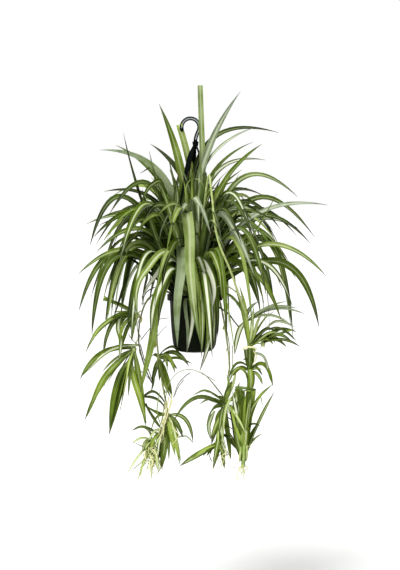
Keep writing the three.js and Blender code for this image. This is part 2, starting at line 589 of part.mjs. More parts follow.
// ---------------------------------------------------------------- runners and plantlets
// A runner's stem passes the points of its line, from its foot in the soil to its end. Each
// plantlet has a hub on the stem, or on a branch that leaves it, and leaves given by their tips.
// lift is how far a leaf arches over the straight line from hub to tip.
const RUNNERS = [
  {
    name: 'runner_left',
    thickness: [5, 3],
    stem: [
      [-36, -9, -447], [-46, -11, -431], [-57, -13, -425], [-76, -17, -424], [-102, -22, -439],
      [-120, -28, -474], [-129, -30, -539], [-116, -28, -604], [-96, -24, -654],
    ],
    plantlets: [
      {
        hub: [-131, -30, -482],
        branch: [-120, -28, -472],
        leaves: [
          { width: 12, lift: 6, tip: [-214, -60, -439], cut: true },
          { width: 15, lift: 32, tip: [-256, -70, -569] },
          { width: 14, lift: 36, tip: [-214, -14, -571] },
          { width: 13, lift: 24, tip: [-174, -58, -551] },
          { width: 13, lift: 20, tip: [-150, 50, -556] },
          { width: 12, lift: 20, tip: [-140, 62, -520] },
        ],
      },
      {
        hub: [-140, -28, -566],
        branch: [-129, -30, -541],
        leaves: [
          { width: 19, lift: 32, tip: [-271, -64, -636] },
          { width: 20, lift: 26, tip: [-264, -34, -746] },
          { width: 19, lift: 12, tip: [-201, -64, -776] },
          { width: 17, lift: 10, tip: [-179, -6, -734] },
          { width: 19, lift: 10, tip: [-111, -54, -756] },
          { width: 15, lift: 20, tip: [-160, 60, -700] },
          { width: 14, lift: 24, tip: [-222, 36, -676] },
        ],
      },
    ],
  },
  {
    name: 'runner_lower_left',
    thickness: [5, 4],
    stem: [
      [-30, 23, -447], [-44, 31, -414], [-66, 40, -408], [-80, 42, -450],
      [-86, 34, -530], [-81, 15, -590], [-69, 8, -671], [-57, 4, -741], [-74, 0, -778], [-97, -8, -806],
    ],
    plantlets: [
      {
        hub: [-80, 14, -594],
        leaves: [
          { width: 13, lift: 24, tip: [-4, -34, -608] },
          { width: 11, lift: 24, tip: [-38, -46, -624] },
          { width: 16, lift: 6, tip: [-47, 10, -691] },
          { width: 12, lift: 6, tip: [-97, 6, -660] },
          { width: 12, lift: 24, tip: [-60, 92, -640] },
          { width: 12, lift: 24, tip: [-112, 70, -634] },
        ],
      },
      {
        hub: [-57, 4, -738],
        leaves: [
          { width: 14, lift: -6, tip: [-112, -30, -706] },
          { width: 12, lift: 22, tip: [-125, -20, -689] },
          { width: 18, lift: 0, tip: [-71, -30, -866] },
          { width: 15, lift: 8, tip: [-26, -42, -856] },
          { width: 12, lift: 12, tip: [-21, -30, -786] },
          { width: 11, lift: 30, tip: [6, -22, -800] },
          { width: 12, lift: 24, tip: [-40, 70, -820] },
          { width: 12, lift: 24, tip: [-104, 62, -800] },
          { width: 12, lift: 10, tip: [-56, 50, -866] },
        ],
      },
      {
        hub: [-96, -8, -802],
        leaves: [
          { width: 11, lift: 24, tip: [-145, -24, -771] },
          { width: 10, lift: 12, tip: [-146, -42, -803] },
          { width: 9, lift: 8, tip: [-158, -30, -881] },
          { width: 9, lift: 6, tip: [-131, -46, -893] },
          { width: 10, lift: 4, tip: [-112, 14, -890] },
          { width: 10, lift: 0, tip: [-98, -36, -893] },
          { width: 11, lift: 0, tip: [-84, 12, -885] },
          { width: 10, lift: 10, tip: [-80, -44, -872] },
        ],
      },
    ],
  },
  {
    name: 'runner_right',
    thickness: [5.5, 9],
    stem: [
      [50, -23, -447], [56, -29, -431], [64, -37, -425], [80, -53, -424], [104, -76, -434],
      [126, -94, -466], [137, -100, -510], [143, -100, -560], [144, -100, -611], [141, -98, -660],
      [136, -96, -760], [129, -94, -846],
    ],
    plantlets: [
      {
        hub: [134, -98, -494],
        leaves: [
          { width: 13, lift: 10, tip: [231, -126, -439] },
          { width: 13, lift: 24, tip: [276, -112, -471] },
          { width: 11, lift: 20, tip: [262, -60, -462] },
          { width: 12, lift: 22, tip: [241, -152, -494] },
          { width: 12, lift: 16, tip: [96, -130, -430] },
          { width: 12, lift: 20, tip: [118, -30, -440] },
        ],
      },
      {
        hub: [176, -104, -543],
        branch: [141, -100, -556],
        leaves: [
          { width: 13, lift: 14, tip: [264, -122, -549] },
          { width: 15, lift: 30, tip: [260, -80, -519] },
          { width: 13, lift: 18, tip: [240, -158, -530] },
          { width: 13, lift: 20, tip: [238, -50, -560] },
          { width: 13, lift: 8, tip: [212, -98, -580] },
        ],
      },
      {
        hub: [144, -100, -613],
        leaves: [
          { width: 15, lift: 0, tip: [130, -112, -556], cut: true },
          { width: 15, lift: 0, tip: [143, -122, -552], cut: true },
          { width: 15, lift: 0, tip: [160, -110, -554], cut: true },
          { width: 15, lift: 0, tip: [146, -84, -558], cut: true },
          { width: 14, lift: 36, tip: [200, -112, -646] },
          { width: 9, lift: 12, tip: [174, -130, -640] },
          { width: 11, lift: 16, tip: [104, -114, -622] },
          { width: 12, lift: 30, tip: [150, -30, -640] },
        ],
      },
      {
        hub: [129, -94, -842],
        leaves: [
          { width: 19, lift: 0, tip: [113, -106, -650], cut: true },
          { width: 19, lift: 0, tip: [126, -122, -648], cut: true },
          { width: 19, lift: 0, tip: [143, -122, -648], cut: true },
          { width: 19, lift: 0, tip: [155, -106, -650], cut: true },
          { width: 19, lift: 0, tip: [122, -80, -654], cut: true },
          { width: 19, lift: 0, tip: [146, -78, -654], cut: true },
          { width: 15, lift: -14, tip: [204, -116, -659] },
          { width: 12, lift: 22, tip: [176, -112, -762] },
          { width: 12, lift: 6, tip: [92, -100, -756] },
          { width: 12, lift: 20, tip: [172, -62, -740] },
        ],
      },
    ],
  },
  {
    name: 'runner_lower_right',
    thickness: [4.5, 3.5],
    stem: [
      [40, -36, -447], [45, -43, -431], [52, -52, -425], [61, -63, -427], [72, -72, -442],
      [80, -72, -480], [92, -64, -559], [96, -58, -621], [84, -54, -706], [77, -54, -798],
    ],
    plantlets: [
      {
        hub: [84, -54, -708],
        leaves: [
          { width: 15, lift: 42, tip: [-41, -74, -739] },
          { width: 12, lift: 14, tip: [36, -90, -664] },
          { width: 11, lift: 18, tip: [22, -40, -704] },
          { width: 14, lift: 10, tip: [52, -72, -798] },
          { width: 13, lift: 4, tip: [56, -88, -852] },
          { width: 13, lift: 4, tip: [100, -62, -838] },
          { width: 12, lift: 20, tip: [98, -96, -640] },
          { width: 12, lift: 14, tip: [104, -26, -646] },
          { width: 12, lift: 26, tip: [40, 30, -770] },
          { width: 12, lift: 26, tip: [110, 30, -760] },
          { width: 12, lift: 20, tip: [70, -140, -760] },
        ],
      },
      {
        hub: [77, -54, -796],
        leaves: [
          { width: 22, lift: 16, tip: [-26, -70, -844] },
          { width: 11, lift: 4, tip: [56, -60, -862] },
          { width: 11, lift: 2, tip: [84, -72, -858] },
        ],
      },
    ],
  },
];

const STEM_SIDES = 5;
const STEM_STEP = 26; // mm of stem between its rings
const HUB_RADIUS = 5;
const SMALL_BLADE_STATIONS = [0, 0.2, 0.48, 0.76];
const SMALL_TURN = 40; // degrees that a plantlet's leaf rolls to show its upper face
const SMALL_CREST = 0.45; // where a plantlet's leaf arches most, as a share of its length
const BRANCH_RISE = 5; // how far a branch arches
const BRANCH_THICKNESS = 3.2;

// A round stem through points, tapering from the first thickness to the second.
function stemSolid(points, [from, to]) {
  const path = smooth(points.map(vec));
  const steps = Math.max(2, Math.round(path.getLength() / STEM_STEP));
  const rings = [];
  for (let step = 0; step <= steps; step += 1) {
    const share = step / steps;
    const along = path.getTangentAt(share);
    const side = new THREE.Vector3(0, 1, 0).addScaledVector(along, -along.y).normalize();
    const up = new THREE.Vector3().crossVectors(side, along);
    const radius = (from + (to - from) * share) / 2;
    const ring = [];
    for (let corner = 0; corner < STEM_SIDES; corner += 1) {
      const angle = Math.PI - (corner / STEM_SIDES) * 2 * Math.PI;
      ring.push(path.getPointAt(share)
        .addScaledVector(side, radius * Math.cos(angle))
        .addScaledVector(up, radius * Math.sin(angle)));
    }
    rings.push(ring);
  }
  return solidOf(loft(rings));
}

function plantletSolids({ hub, branch, leaves }) {
  const middle = vec(hub);
  const knob = new THREE.IcosahedronGeometry(HUB_RADIUS, 0);
  knob.translate(...hub);
  const solids = [solidOf(knob)];
  if (branch) {
    const root = vec(branch);
    const bend = root.clone().lerp(middle, 0.5).add(new THREE.Vector3(0, 0, BRANCH_RISE));
    solids.push(stemSolid([branch, bend.toArray(), hub], [BRANCH_THICKNESS, BRANCH_THICKNESS]));
  }
  for (const leaf of leaves) {
    const tip = vec(leaf.tip);
    const crest = middle.clone().lerp(tip, SMALL_CREST).add(new THREE.Vector3(0, 0, leaf.lift));
    const turn = tip.x > middle.x ? SMALL_TURN : -SMALL_TURN;
    const through = [crest.toArray(), leaf.tip];
    solids.push(blade(middle, { ...leaf, turn, through }, SMALL_BLADE_STATIONS));
  }
  return solids;
}

function makeRunner({ stem, thickness, plantlets }) {
  const [x, y, z] = stem[0];
  const foot = turned([
    [0, z - FOOT_DEPTH],
    [FOOT_RADIUS, z - FOOT_DEPTH],
    [FOOT_RADIUS, z + FOOT_COLLAR],
    [0, z + FOOT_COLLAR],
  ], x, y, CROWN_SIDES);
  const solids = [solidOf(foot), stemSolid(stem, thickness), ...plantlets.flatMap(plantletSolids)];
  return geometryOf(outerShell(fuse(solids)));
}

// ---------------------------------------------------------------- the whole plant
const plant = new THREE.Group();
plant.name = 'hanging_spider_plant';

function place(name, geometry, finish) {
  const mesh = new THREE.Mesh(geometry, new THREE.MeshStandardMaterial(finish));
  mesh.name = name;
  plant.add(mesh);
}

place('pot', makePot(), COLOURS.pot);
place('soil', makeSoil(), COLOURS.soil);
place('hanger', makeHanger(), COLOURS.hanger);
for (const name of Object.keys(CROWNS)) place(name, makeCrown(name), COLOURS.leaf);
for (const runner of RUNNERS) place(runner.name, makeRunner(runner), COLOURS.runner);

export default plant;
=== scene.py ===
"""A spider plant in a hanging pot: the looks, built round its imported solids.

Sizes are in millimetres in the object's own frame, and turn to metres where a mesh is made. The
origin is the saddle of the hook, +Z is up and -Y faces the viewer. Leaves, stems, pot and hanger
are grids of points worked out with numpy, each put into one closed mesh.
"""

import logging
import math
from dataclasses import dataclass, field
from enum import Enum
from typing import Callable, Sequence

import bpy
import numpy as np
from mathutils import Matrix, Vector


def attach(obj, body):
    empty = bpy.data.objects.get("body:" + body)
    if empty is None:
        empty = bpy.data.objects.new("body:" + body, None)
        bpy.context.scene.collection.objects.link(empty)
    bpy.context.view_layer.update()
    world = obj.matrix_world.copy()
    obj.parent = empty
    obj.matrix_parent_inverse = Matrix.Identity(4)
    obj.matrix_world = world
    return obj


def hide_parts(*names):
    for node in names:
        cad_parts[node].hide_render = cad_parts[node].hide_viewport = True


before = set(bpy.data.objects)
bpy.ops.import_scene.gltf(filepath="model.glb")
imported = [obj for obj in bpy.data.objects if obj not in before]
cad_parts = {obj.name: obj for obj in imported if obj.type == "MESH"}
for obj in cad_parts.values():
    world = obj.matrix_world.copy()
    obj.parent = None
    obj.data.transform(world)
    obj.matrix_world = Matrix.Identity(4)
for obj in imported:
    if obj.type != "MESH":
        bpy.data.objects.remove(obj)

log = logging.getLogger("spider_plant")
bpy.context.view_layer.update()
MM = 0.001
TURN = 6.28  # a full turn in radians, near enough for drawn headings and phases and for UV maps
Point = tuple[float, float, float]
Pair = tuple[float, float]  # a range, a flat point, or the sizes at two ends
Random = np.random.Generator


# ---- small maths
def unit(v: np.ndarray) -> np.ndarray:
    """Each vector divided by its own length."""
    return v / np.linalg.norm(v, axis=-1, keepdims=True)


def smoothstep(low: float, high: float, x: np.ndarray) -> np.ndarray:
    """0 below low, 1 above high, and a cubic that is level at both ends between them."""
    t = np.clip((x - low) / (high - low), 0.0, 1.0)
    return t * t * (3.0 - 2.0 * t)


def turned_about(v: np.ndarray, axis: np.ndarray, angle: np.ndarray) -> np.ndarray:
    """v turned about its own axis by angle, by Rodrigues' formula.

    Args:
        v: Vectors at right angles to the axes, one a row.
        axis: Unit axes, one a row.
        angle: Angles in radians, one a row.

    Returns:
        The turned vectors: v cos(angle) + (axis x v) sin(angle).
    """
    return v * np.cos(angle)[:, None] + np.cross(axis, v) * np.sin(angle)[:, None]


def turns(count: int) -> np.ndarray:
    """The angles of count even steps round a full turn, in radians."""
    return np.linspace(0.0, 2 * math.pi, count, endpoint=False)


def meshed(*parts: np.ndarray | float) -> np.ndarray:
    """Coordinates spread over one common grid and put side by side as its last axis."""
    return np.stack(np.broadcast_arrays(*parts), axis=-1)


def between(ends: Pair, share: np.ndarray | float) -> np.ndarray | float:
    """The value at a share of the way from one end to the other."""
    return ends[0] + (ends[1] - ends[0]) * share


def level(degrees: float) -> np.ndarray:
    """The level unit vector at a heading."""
    angle = math.radians(degrees)
    return np.array([math.cos(angle), math.sin(angle), 0.0])


class Line:
    """A smooth line through space, read by share of its length."""

    SAMPLES = 240

    def __init__(self, points: np.ndarray) -> None:
        """Keeps closely spaced points and how far along the line each lies."""
        self.points = points
        steps = np.linalg.norm(np.diff(points, axis=0), axis=1)
        self.reach = np.concatenate([[0.0], np.cumsum(steps)])
        self.length = float(self.reach[-1])

    @classmethod
    def arch(cls, root: np.ndarray, crest: np.ndarray, tip: np.ndarray) -> "Line":
        """One clean arch: a quadratic Bezier from root to tip that passes the crest.

        Args:
            root: Where it starts.
            crest: A point that it passes, where the share of its way is the share that the
                straight line from root to crest has of the two straight lines.
            tip: Where it ends.

        Returns:
            The line (1-t)^2 root + 2t(1-t) pull + t^2 tip.
        """
        rise = float(np.linalg.norm(crest - root))
        share = rise / (rise + float(np.linalg.norm(tip - crest)))
        pull = (crest - (1 - share) ** 2 * root - share**2 * tip) / (2 * share * (1 - share))
        t = np.linspace(0.0, 1.0, cls.SAMPLES)[:, None]
        return cls((1 - t) ** 2 * root + 2 * t * (1 - t) * pull + t**2 * tip)

    @classmethod
    def through(cls, points: Sequence[Point]) -> "Line":
        """A Catmull-Rom spline through all the points, its ends mirrored.

        Args:
            points: The points that it passes, in order.

        Returns:
            The line. Between two points it is the cubic whose end slopes are half the step
            between the neighbours on either side.
        """
        p = np.asarray(points, float)
        p = np.vstack([2 * p[0] - p[1], p, 2 * p[-1] - p[-2]])
        spans = len(points) - 1
        place = np.linspace(0.0, spans, cls.SAMPLES)
        i = np.minimum(place.astype(int), spans - 1)
        t = (place - i)[:, None]
        a, b, c, d = p[i], p[i + 1], p[i + 2], p[i + 3]
        cubic = 3 * b - a - 3 * c + d
        square = 2 * a - 5 * b + 4 * c - d
        return cls(b + 0.5 * t * (c - a + t * (square + t * cubic)))

    def at(self, shares: np.ndarray) -> np.ndarray:
        """The points at those shares of the line's length."""
        where = np.clip(shares, 0.0, 1.0) * self.length
        return np.stack([np.interp(where, self.reach, self.points[:, k]) for k in range(3)], axis=1)

    def along(self, shares: np.ndarray) -> np.ndarray:
        """Unit directions of the line at those shares of its length."""
        step = 0.012
        return unit(self.at(shares + step) - self.at(shares - step))


# ---- meshes
@dataclass
class Batch:
    """Closed grids gathered into one mesh, with a UV map and named values for each point."""

    points: list[np.ndarray] = field(default_factory=list)
    faces: list[np.ndarray] = field(default_factory=list)
    uvs: list[np.ndarray] = field(default_factory=list)
    values: dict[str, list[np.ndarray]] = field(default_factory=dict)
    count: int = 0

    def tube(self, grid: np.ndarray, uv: np.ndarray, joined: bool = False,
             **values: np.ndarray | float) -> None:
        """Adds a closed skin over rings.

        The rings lie one after the other along the first axis of the grid. An even number of
        points goes round each ring, and a closed end is a strip of quads between its halves.

        Args:
            grid: Points as rings by points round a ring by 3, in millimetres.
            uv: Rings by points by 2.
            joined: Whether the last ring joins the first. Both ends are closed otherwise.
            values: A number for each point, or one for all, by name.
        """
        rings, around = grid.shape[:2]
        number = np.arange(rings * around).reshape(rings, around) + self.count
        upto = rings if joined else rings - 1
        beside, over = np.roll(number, -1, axis=1), np.roll(number, -1, axis=0)
        across = np.roll(beside, -1, axis=0)
        faces = np.stack([number, beside, across, over], axis=-1)[:upto].reshape(-1, 4)
        if not joined:
            near = np.arange(around // 2 - 1)
            strip = np.stack([near, near + 1, around - 2 - near, around - 1 - near], axis=-1)
            faces = np.concatenate([faces, number[0][strip][:, ::-1], number[-1][strip]])
        flat = grid.reshape(-1, 3)
        if enclosed(flat, faces - self.count) < 0:
            faces = faces[:, ::-1]
        self.points.append(flat)
        self.faces.append(faces)
        self.uvs.append(uv.reshape(-1, 2))
        for name, value in values.items():
            full = np.broadcast_to(np.asarray(value, float), (rings, around)).reshape(-1)
            self.values.setdefault(name, []).append(full)
        self.count += rings * around

    def piece(self, name: str, *finishes: "Finish") -> bpy.types.Object:
        """Makes the mesh and its object, at the origin.

        Args:
            name: The object's name.
            finishes: Its materials.

        Returns:
            The new object.
        """
        mesh = bpy.data.meshes.new(name)
        points = np.concatenate(self.points) * MM
        faces = np.concatenate(self.faces)
        mesh.from_pydata(points.tolist(), [], faces.tolist())
        mesh.polygons.foreach_set("use_smooth", np.ones(len(faces), bool))
        corners = np.empty(len(mesh.loops), np.int32)
        mesh.loops.foreach_get("vertex_index", corners)
        layer = mesh.uv_layers.new(name="surface")
        layer.data.foreach_set("uv", np.concatenate(self.uvs)[corners].astype(np.float32).ravel())
        for key, parts in self.values.items():
            attribute = mesh.attributes.new(key, "FLOAT", "POINT")
            attribute.data.foreach_set("value", np.concatenate(parts).astype(np.float32))
        mesh.update()
        thing = bpy.data.objects.new(name, mesh)
        bpy.context.scene.collection.objects.link(thing)
        for finish in finishes:
            mesh.materials.append(finish.material())
        return thing


def enclosed(points: np.ndarray, quads: np.ndarray) -> float:
    """Six times the volume inside quads, negative if they face inwards."""
    a, b, c, d = (points[quads[:, k]] for k in range(4))
    first = np.einsum("ij,ij->i", a, np.cross(b, c))
    second = np.einsum("ij,ij->i", a, np.cross(c, d))
    return float((first + second).sum())


def swept(batch: Batch, line: Line, ring: np.ndarray, shares: np.ndarray, scale: np.ndarray,
          across: np.ndarray | None = None, **values: np.ndarray | float) -> None:
    """Carries a flat outline along a line.

    Args:
        batch: Where the skin goes.
        line: The path.
        ring: The outline as points by (across, out), in millimetres, or one such for each copy.
        shares: Where its copies stand, as shares of the path's length.
        scale: How large each copy is, as copies by 2.
        across: The direction that the outline's first axis keeps to, made square to the path.
            Without it, the path's flattest direction, which its points spread least along.
        values: A number for each point, or one for all, by name.
    """
    middle, along = line.at(shares), line.along(shares)
    if across is None:
        across = np.linalg.svd(line.points - line.points.mean(axis=0))[2][-1]
    side = unit(across - along * (along @ across)[:, None])
    out = np.cross(side, along)
    sized = ring * scale[:, None]
    grid = middle[:, None] + side[:, None] * sized[..., :1] + out[:, None] * sized[..., 1:]
    round_share = np.linspace(0.0, 1.0, grid.shape[1])
    batch.tube(grid, meshed(round_share[None], (shares * line.length)[:, None] * MM), **values)


def round_ring(sides: int) -> np.ndarray:
    """A circle of radius 1 as an even number of points by 2."""
    return np.stack([np.cos(turns(sides)), np.sin(turns(sides))], axis=1)


# ---- shader nodes
def linear(code: str) -> tuple[float, float, float, float]:
    """A colour written as sRGB hex, turned to linear light."""
    parts = [int(code[k : k + 2], 16) / 255 for k in (1, 3, 5)]
    red, green, blue = (p / 12.92 if p <= 0.04045 else ((p + 0.055) / 1.055) ** 2.4 for p in parts)
    return (red, green, blue, 1.0)


def per_mm(size: float) -> float:
    """The scale at which a pattern on Object coordinates repeats about every size millimetres."""
    return 1.0 / (size * MM)


Given = float | str | Sequence[float] | bpy.types.NodeSocket | None


@dataclass
class Tree:
    """A node tree, added to one node at a time."""

    nodes: bpy.types.NodeTree

    def add(self, kind: str, out: int | str = 0, **given: Given) -> bpy.types.NodeSocket:
        """Adds a node with its settings and what goes into its sockets.

        Args:
            kind: The node's type, without its ShaderNode prefix.
            out: Which of its outputs is wanted, by place or name.
            given: Settings, whose names start with a small letter, and numbers, hex colours,
                vectors or other nodes' outputs for its inputs, whose names start with a capital
                and have _ for a space, or are _ and the input's place.

        Returns:
            That output, or None on a node that has none.
        """
        node = self.nodes.nodes.new("ShaderNode" + kind)
        for name, value in given.items():
            if name[0].islower():
                setattr(node, name, value)
                continue
            socket = node.inputs[int(name[1:]) if name[0] == "_" else name.replace("_", " ")]
            if isinstance(value, bpy.types.NodeSocket):
                self.nodes.links.new(value, socket)
            else:
                socket.default_value = linear(value) if isinstance(value, str) else value
        return node.outputs[out] if node.outputs else None


# ---- finishes
@dataclass(frozen=True)
class Finish:
    """What a surface is made of. Each kind makes its material once."""

    name: str
    slot: str

    def material(self) -> bpy.types.Material:
        """The material, made when it is first asked for."""
        made = bpy.data.materials.get(self.name)
        if made is None:
            made = bpy.data.materials.new(self.name)
            made.use_nodes = True
            made.node_tree.nodes.clear()
            tree = Tree(made.node_tree)
            tree.add("OutputMaterial", Surface=self.surface(tree))
        return made

    def surface(self, tree: Tree) -> bpy.types.NodeSocket:
        """Fills the tree and gives its shader. Each kind of finish has its own."""
        raise NotImplementedError


SMOOTH = "SMOOTHSTEP"


@dataclass(frozen=True)
class LeafSkin(Finish):
    """A living strap leaf: satin cuticle over parallel veins, with a pale stripe along the middle.

    The stripe is tissue with little green in it, yellow-green on most leaves and cream on some.
    The wax on the cuticle gives a grey bloom, and the underside is duller and paler. UV x runs
    The grey over the cuticle is a painted sheen, laid on in soft patches as a painted highlight, and
    the underside is duller and paler. UV x runs across the blade and UV y along it. The mesh says
    for each blade how light it is (tone), partly painted shade on the dark and shaded kinds, how
    wide and how white its stripe is (stripe, cream), how much painted sheen (sheen) and how old (age).
    """

    deep: str = "#202d00"
    green: str = "#52690a"
    light: str = "#95a850"
    lime: str = "#c6cf9c"
    cream: str = "#eef0dc"
    # Painted highlight: the grey of the painted sheen.
    sheen_colour: str = "#a7b0a0"
    back: str = "#7b9150"
    straw: str = "#bba468"
    brown: str = "#5f4426"
    glow: str = "#dfe46c"

    def surface(self, tree: Tree) -> bpy.types.NodeSocket:
        """Green by tone, streaked by veins, striped, greyed by painted sheen, then paler below and brown at
        the tip.
        """
        here = tree.add("TexCoord", "Object")
        uv = tree.add("TexCoord", "UV")
        across, along = (tree.add("SeparateXYZ", axis, Vector=uv) for axis in "XY")
        tone, stripe, cream, bloom, age, under = (
            tree.add("Attribute", "Fac", attribute_name=name)
            for name in ("tone", "stripe", "cream", "bloom", "age", "under"))
        # Veins are about half a millimetre apart, drawn 0.8 mm apart so that they show.
        veined = tree.add("Mapping", Vector=uv, Scale=(24.0, 1.3, 1.0))
        veins = tree.add("TexNoise", Vector=veined, Scale=1.0, Detail=1.0)
        banded = tree.add("Mapping", Vector=uv, Scale=(5.0, 1.6, 1.0))
        bands = tree.add("TexNoise", Vector=banded, Scale=1.0, Detail=2.0)
        cloud = tree.add("TexNoise", Vector=here, Scale=per_mm(40.0), Detail=2.0)
        drift = tree.add("MapRange", Value=cloud, From_Min=0.3, From_Max=0.7, To_Min=-0.16, To_Max=0.16)
        fine = tree.add("MapRange", Value=veins, From_Min=0.35, From_Max=0.65, To_Min=-0.1, To_Max=0.1)
        # The last quarter of a blade darkens towards its tip.
        tipped = tree.add("MapRange", Value=along, From_Min=0.72, From_Max=0.99, To_Max=-0.38)
        shade = tone
        for change in (drift, fine, tipped):
            shade = tree.add("Math", _0=shade, _1=change)
        lit = tree.add("MapRange", Value=shade, From_Min=0.0, From_Max=0.5)
        pale = tree.add("MapRange", Value=shade, From_Min=0.5, From_Max=1.0)
        # The stripe's edge wanders with the veins, and thin streaks of it stand beside it.
        off = tree.add("Math", operation="SUBTRACT", _0=across, _1=0.5)
        off = tree.add("Math", operation="ABSOLUTE", _0=off)
        wander = tree.add("MapRange", Value=bands, From_Min=0.3, From_Max=0.7, To_Min=-0.06, To_Max=0.06)
        edge = tree.add("Math", _0=off, _1=wander)
        edge = tree.add("Math", operation="MULTIPLY_ADD", _0=stripe, _1=-0.2, _2=edge)
        middle = tree.add("MapRange", interpolation_type=SMOOTH, Value=edge, From_Min=0.06, From_Max=-0.06)
        streak = tree.add("MapRange", Value=veins, From_Min=0.58, From_Max=0.68)
        near = tree.add("MapRange", Value=off, From_Min=0.42, From_Max=0.15, To_Max=0.45)
        streak = tree.add("Math", operation="MULTIPLY", _0=streak, _1=near)
        striped = tree.add("Math", operation="MAXIMUM", _0=middle, _1=streak)
        has = tree.add("MapRange", Value=stripe, To_Max=0.86)
        fade = tree.add("MapRange", Value=along, From_Min=1.0, From_Max=0.84)
        hidden = tree.add("MapRange", Value=under, To_Min=1.0, To_Max=0.55)
        for limit in (has, fade, hidden):
            striped = tree.add("Math", operation="MULTIPLY", _0=striped, _1=limit)
        band = tree.add("Mix", 2, data_type="RGBA", _0=cream, _6=self.lime, _7=self.cream)
        # Painted sheen: grey in soft patches stands in for the satin highlight. The underside is duller,
        # and the sheathed base is blanched.
        patch = tree.add("MapRange", interpolation_type=SMOOTH, Value=cloud, From_Min=0.35,
                         From_Max=0.6, To_Min=0.45, To_Max=1.0)
        sheen_share = tree.add("Math", operation="MULTIPLY", _0=bloom, _1=patch)
        dull = tree.add("MapRange", Value=under, To_Max=0.4)
        base = tree.add("MapRange", Value=along, From_Min=0.14, From_Max=0.0, To_Max=0.55)
        # A withered blade is straw, and old tips are brown for a few millimetres.
        dry = tree.add("MapRange", Value=age, From_Min=0.55, From_Max=1.0, To_Max=0.9)
        end = tree.add("MapRange", Value=along, From_Min=0.95, From_Max=1.0)
        old = tree.add("MapRange", Value=age, From_Min=0.1, From_Max=0.4)
        end = tree.add("Math", operation="MULTIPLY", _0=end, _1=old)
        colour = self.deep
        for share, over in ((lit, self.green), (pale, self.light), (striped, band), (sheen_share, self.sheen_colour),
                            (dull, self.back), (base, self.lime), (dry, self.straw), (end, self.brown)):
            colour = tree.add("Mix", 2, data_type="RGBA", _0=share, _6=colour, _7=over)
        ribs = tree.add("Bump", Strength=0.25, Distance=0.4 * MM, Height=veins)
        matt = tree.add("MapRange", Value=bands, From_Min=0.3, From_Max=0.7, To_Min=0.34, To_Max=0.46)
        matt = tree.add("Math", operation="MULTIPLY_ADD", _0=under, _1=0.16, _2=matt)
        skin = tree.add("BsdfPrincipled", Base_Color=colour, Roughness=matt, IOR=1.4,
                        Specular_IOR_Level=0.1, Normal=ribs)
        glow = tree.add("Mix", 2, data_type="RGBA", blend_type="MULTIPLY", _0=0.5, _6=colour, _7=self.glow)
        through = tree.add("BsdfTranslucent", Color=glow, Normal=ribs)
        return tree.add("MixShader", _0=0.2, _1=skin, _2=through)


@dataclass(frozen=True)
class StemSkin(Finish):
    """A wiry runner: smooth green skin with fine lengthwise grooves, dark where it has aged."""

    green: str = "#6d8d26"
    pale: str = "#dedba6"
    old: str = "#1b170d"

    def surface(self, tree: Tree) -> bpy.types.NodeSocket:
        """Green to pale by tone, old by age, grooved along the stem."""
        here = tree.add("TexCoord", "Object")
        uv = tree.add("TexCoord", "UV")
        tone = tree.add("Attribute", "Fac", attribute_name="tone")
        age = tree.add("Attribute", "Fac", attribute_name="age")
        mottle = tree.add("TexNoise", Vector=here, Scale=per_mm(9.0), Detail=3.0)
        drift = tree.add("MapRange", Value=mottle, From_Min=0.3, From_Max=0.7, To_Min=-0.2, To_Max=0.2)
        shade = tree.add("Math", _0=tone, _1=drift, use_clamp=True)
        colour = tree.add("Mix", 2, data_type="RGBA", _0=shade, _6=self.green, _7=self.pale)
        colour = tree.add("Mix", 2, data_type="RGBA", _0=age, _6=colour, _7=self.old)
        # About 26 grooves round the stem, half a millimetre apart on one that is 4 mm thick.
        grooved = tree.add("Mapping", Vector=uv, Scale=(26.0, 30.0, 1.0))
        grooves = tree.add("TexNoise", Vector=grooved, Scale=1.0, Detail=1.0)
        ribs = tree.add("Bump", Strength=0.3, Distance=0.3 * MM, Height=grooves)
        return tree.add("BsdfPrincipled", Base_Color=colour, Roughness=0.45, IOR=1.42, Normal=ribs)


@dataclass(frozen=True)
class MouldedPlastic(Finish):
    """Injection-moulded polypropylene: near-black green, satin, finely scuffed, with dust in recesses."""

    body: str = "#060a02"
    scuff: str = "#131a0e"
    lime: str = "#444b40"
    dust: str = "#a9b0ab"
    roughness: float = 0.42

    def surface(self, tree: Tree) -> bpy.types.NodeSocket:
        """Dark body, scuffed in patches, with thin runs of lime from watering."""
        here = tree.add("TexCoord", "Object")
        dusty = tree.add("Attribute", "Fac", attribute_name="dust")
        patches = tree.add("TexNoise", Vector=here, Scale=per_mm(26.0), Detail=4.0)
        # The mould's grain is finer than 0.2 mm, drawn at 0.9 mm so that it breaks the gloss.
        grain = tree.add("TexNoise", Vector=here, Scale=per_mm(0.9), Detail=2.0)
        drawn_out = tree.add("Mapping", Vector=here, Scale=(1.0, 1.0, 0.12))
        runs = tree.add("TexNoise", Vector=drawn_out, Scale=per_mm(7.0), Detail=3.0)
        worn = tree.add("MapRange", Value=patches, From_Min=0.45, From_Max=0.75, To_Max=0.5)
        limed = tree.add("MapRange", Value=runs, From_Min=0.64, From_Max=0.85, To_Max=0.1)
        dusted = tree.add("MapRange", Value=dusty, To_Max=0.6)
        colour = self.body
        for share, over in ((worn, self.scuff), (limed, self.lime), (dusted, self.dust)):
            colour = tree.add("Mix", 2, data_type="RGBA", _0=share, _6=colour, _7=over)
        pebble = tree.add("Bump", Strength=0.12, Distance=0.2 * MM, Height=grain)
        matt = tree.add("MapRange", Value=patches, From_Min=0.3, From_Max=0.7,
                        To_Min=self.roughness - 0.06, To_Max=self.roughness + 0.1)
        return tree.add("BsdfPrincipled", Base_Color=colour, Roughness=matt, IOR=1.4,
                        Specular_IOR_Level=0.05, Normal=pebble)


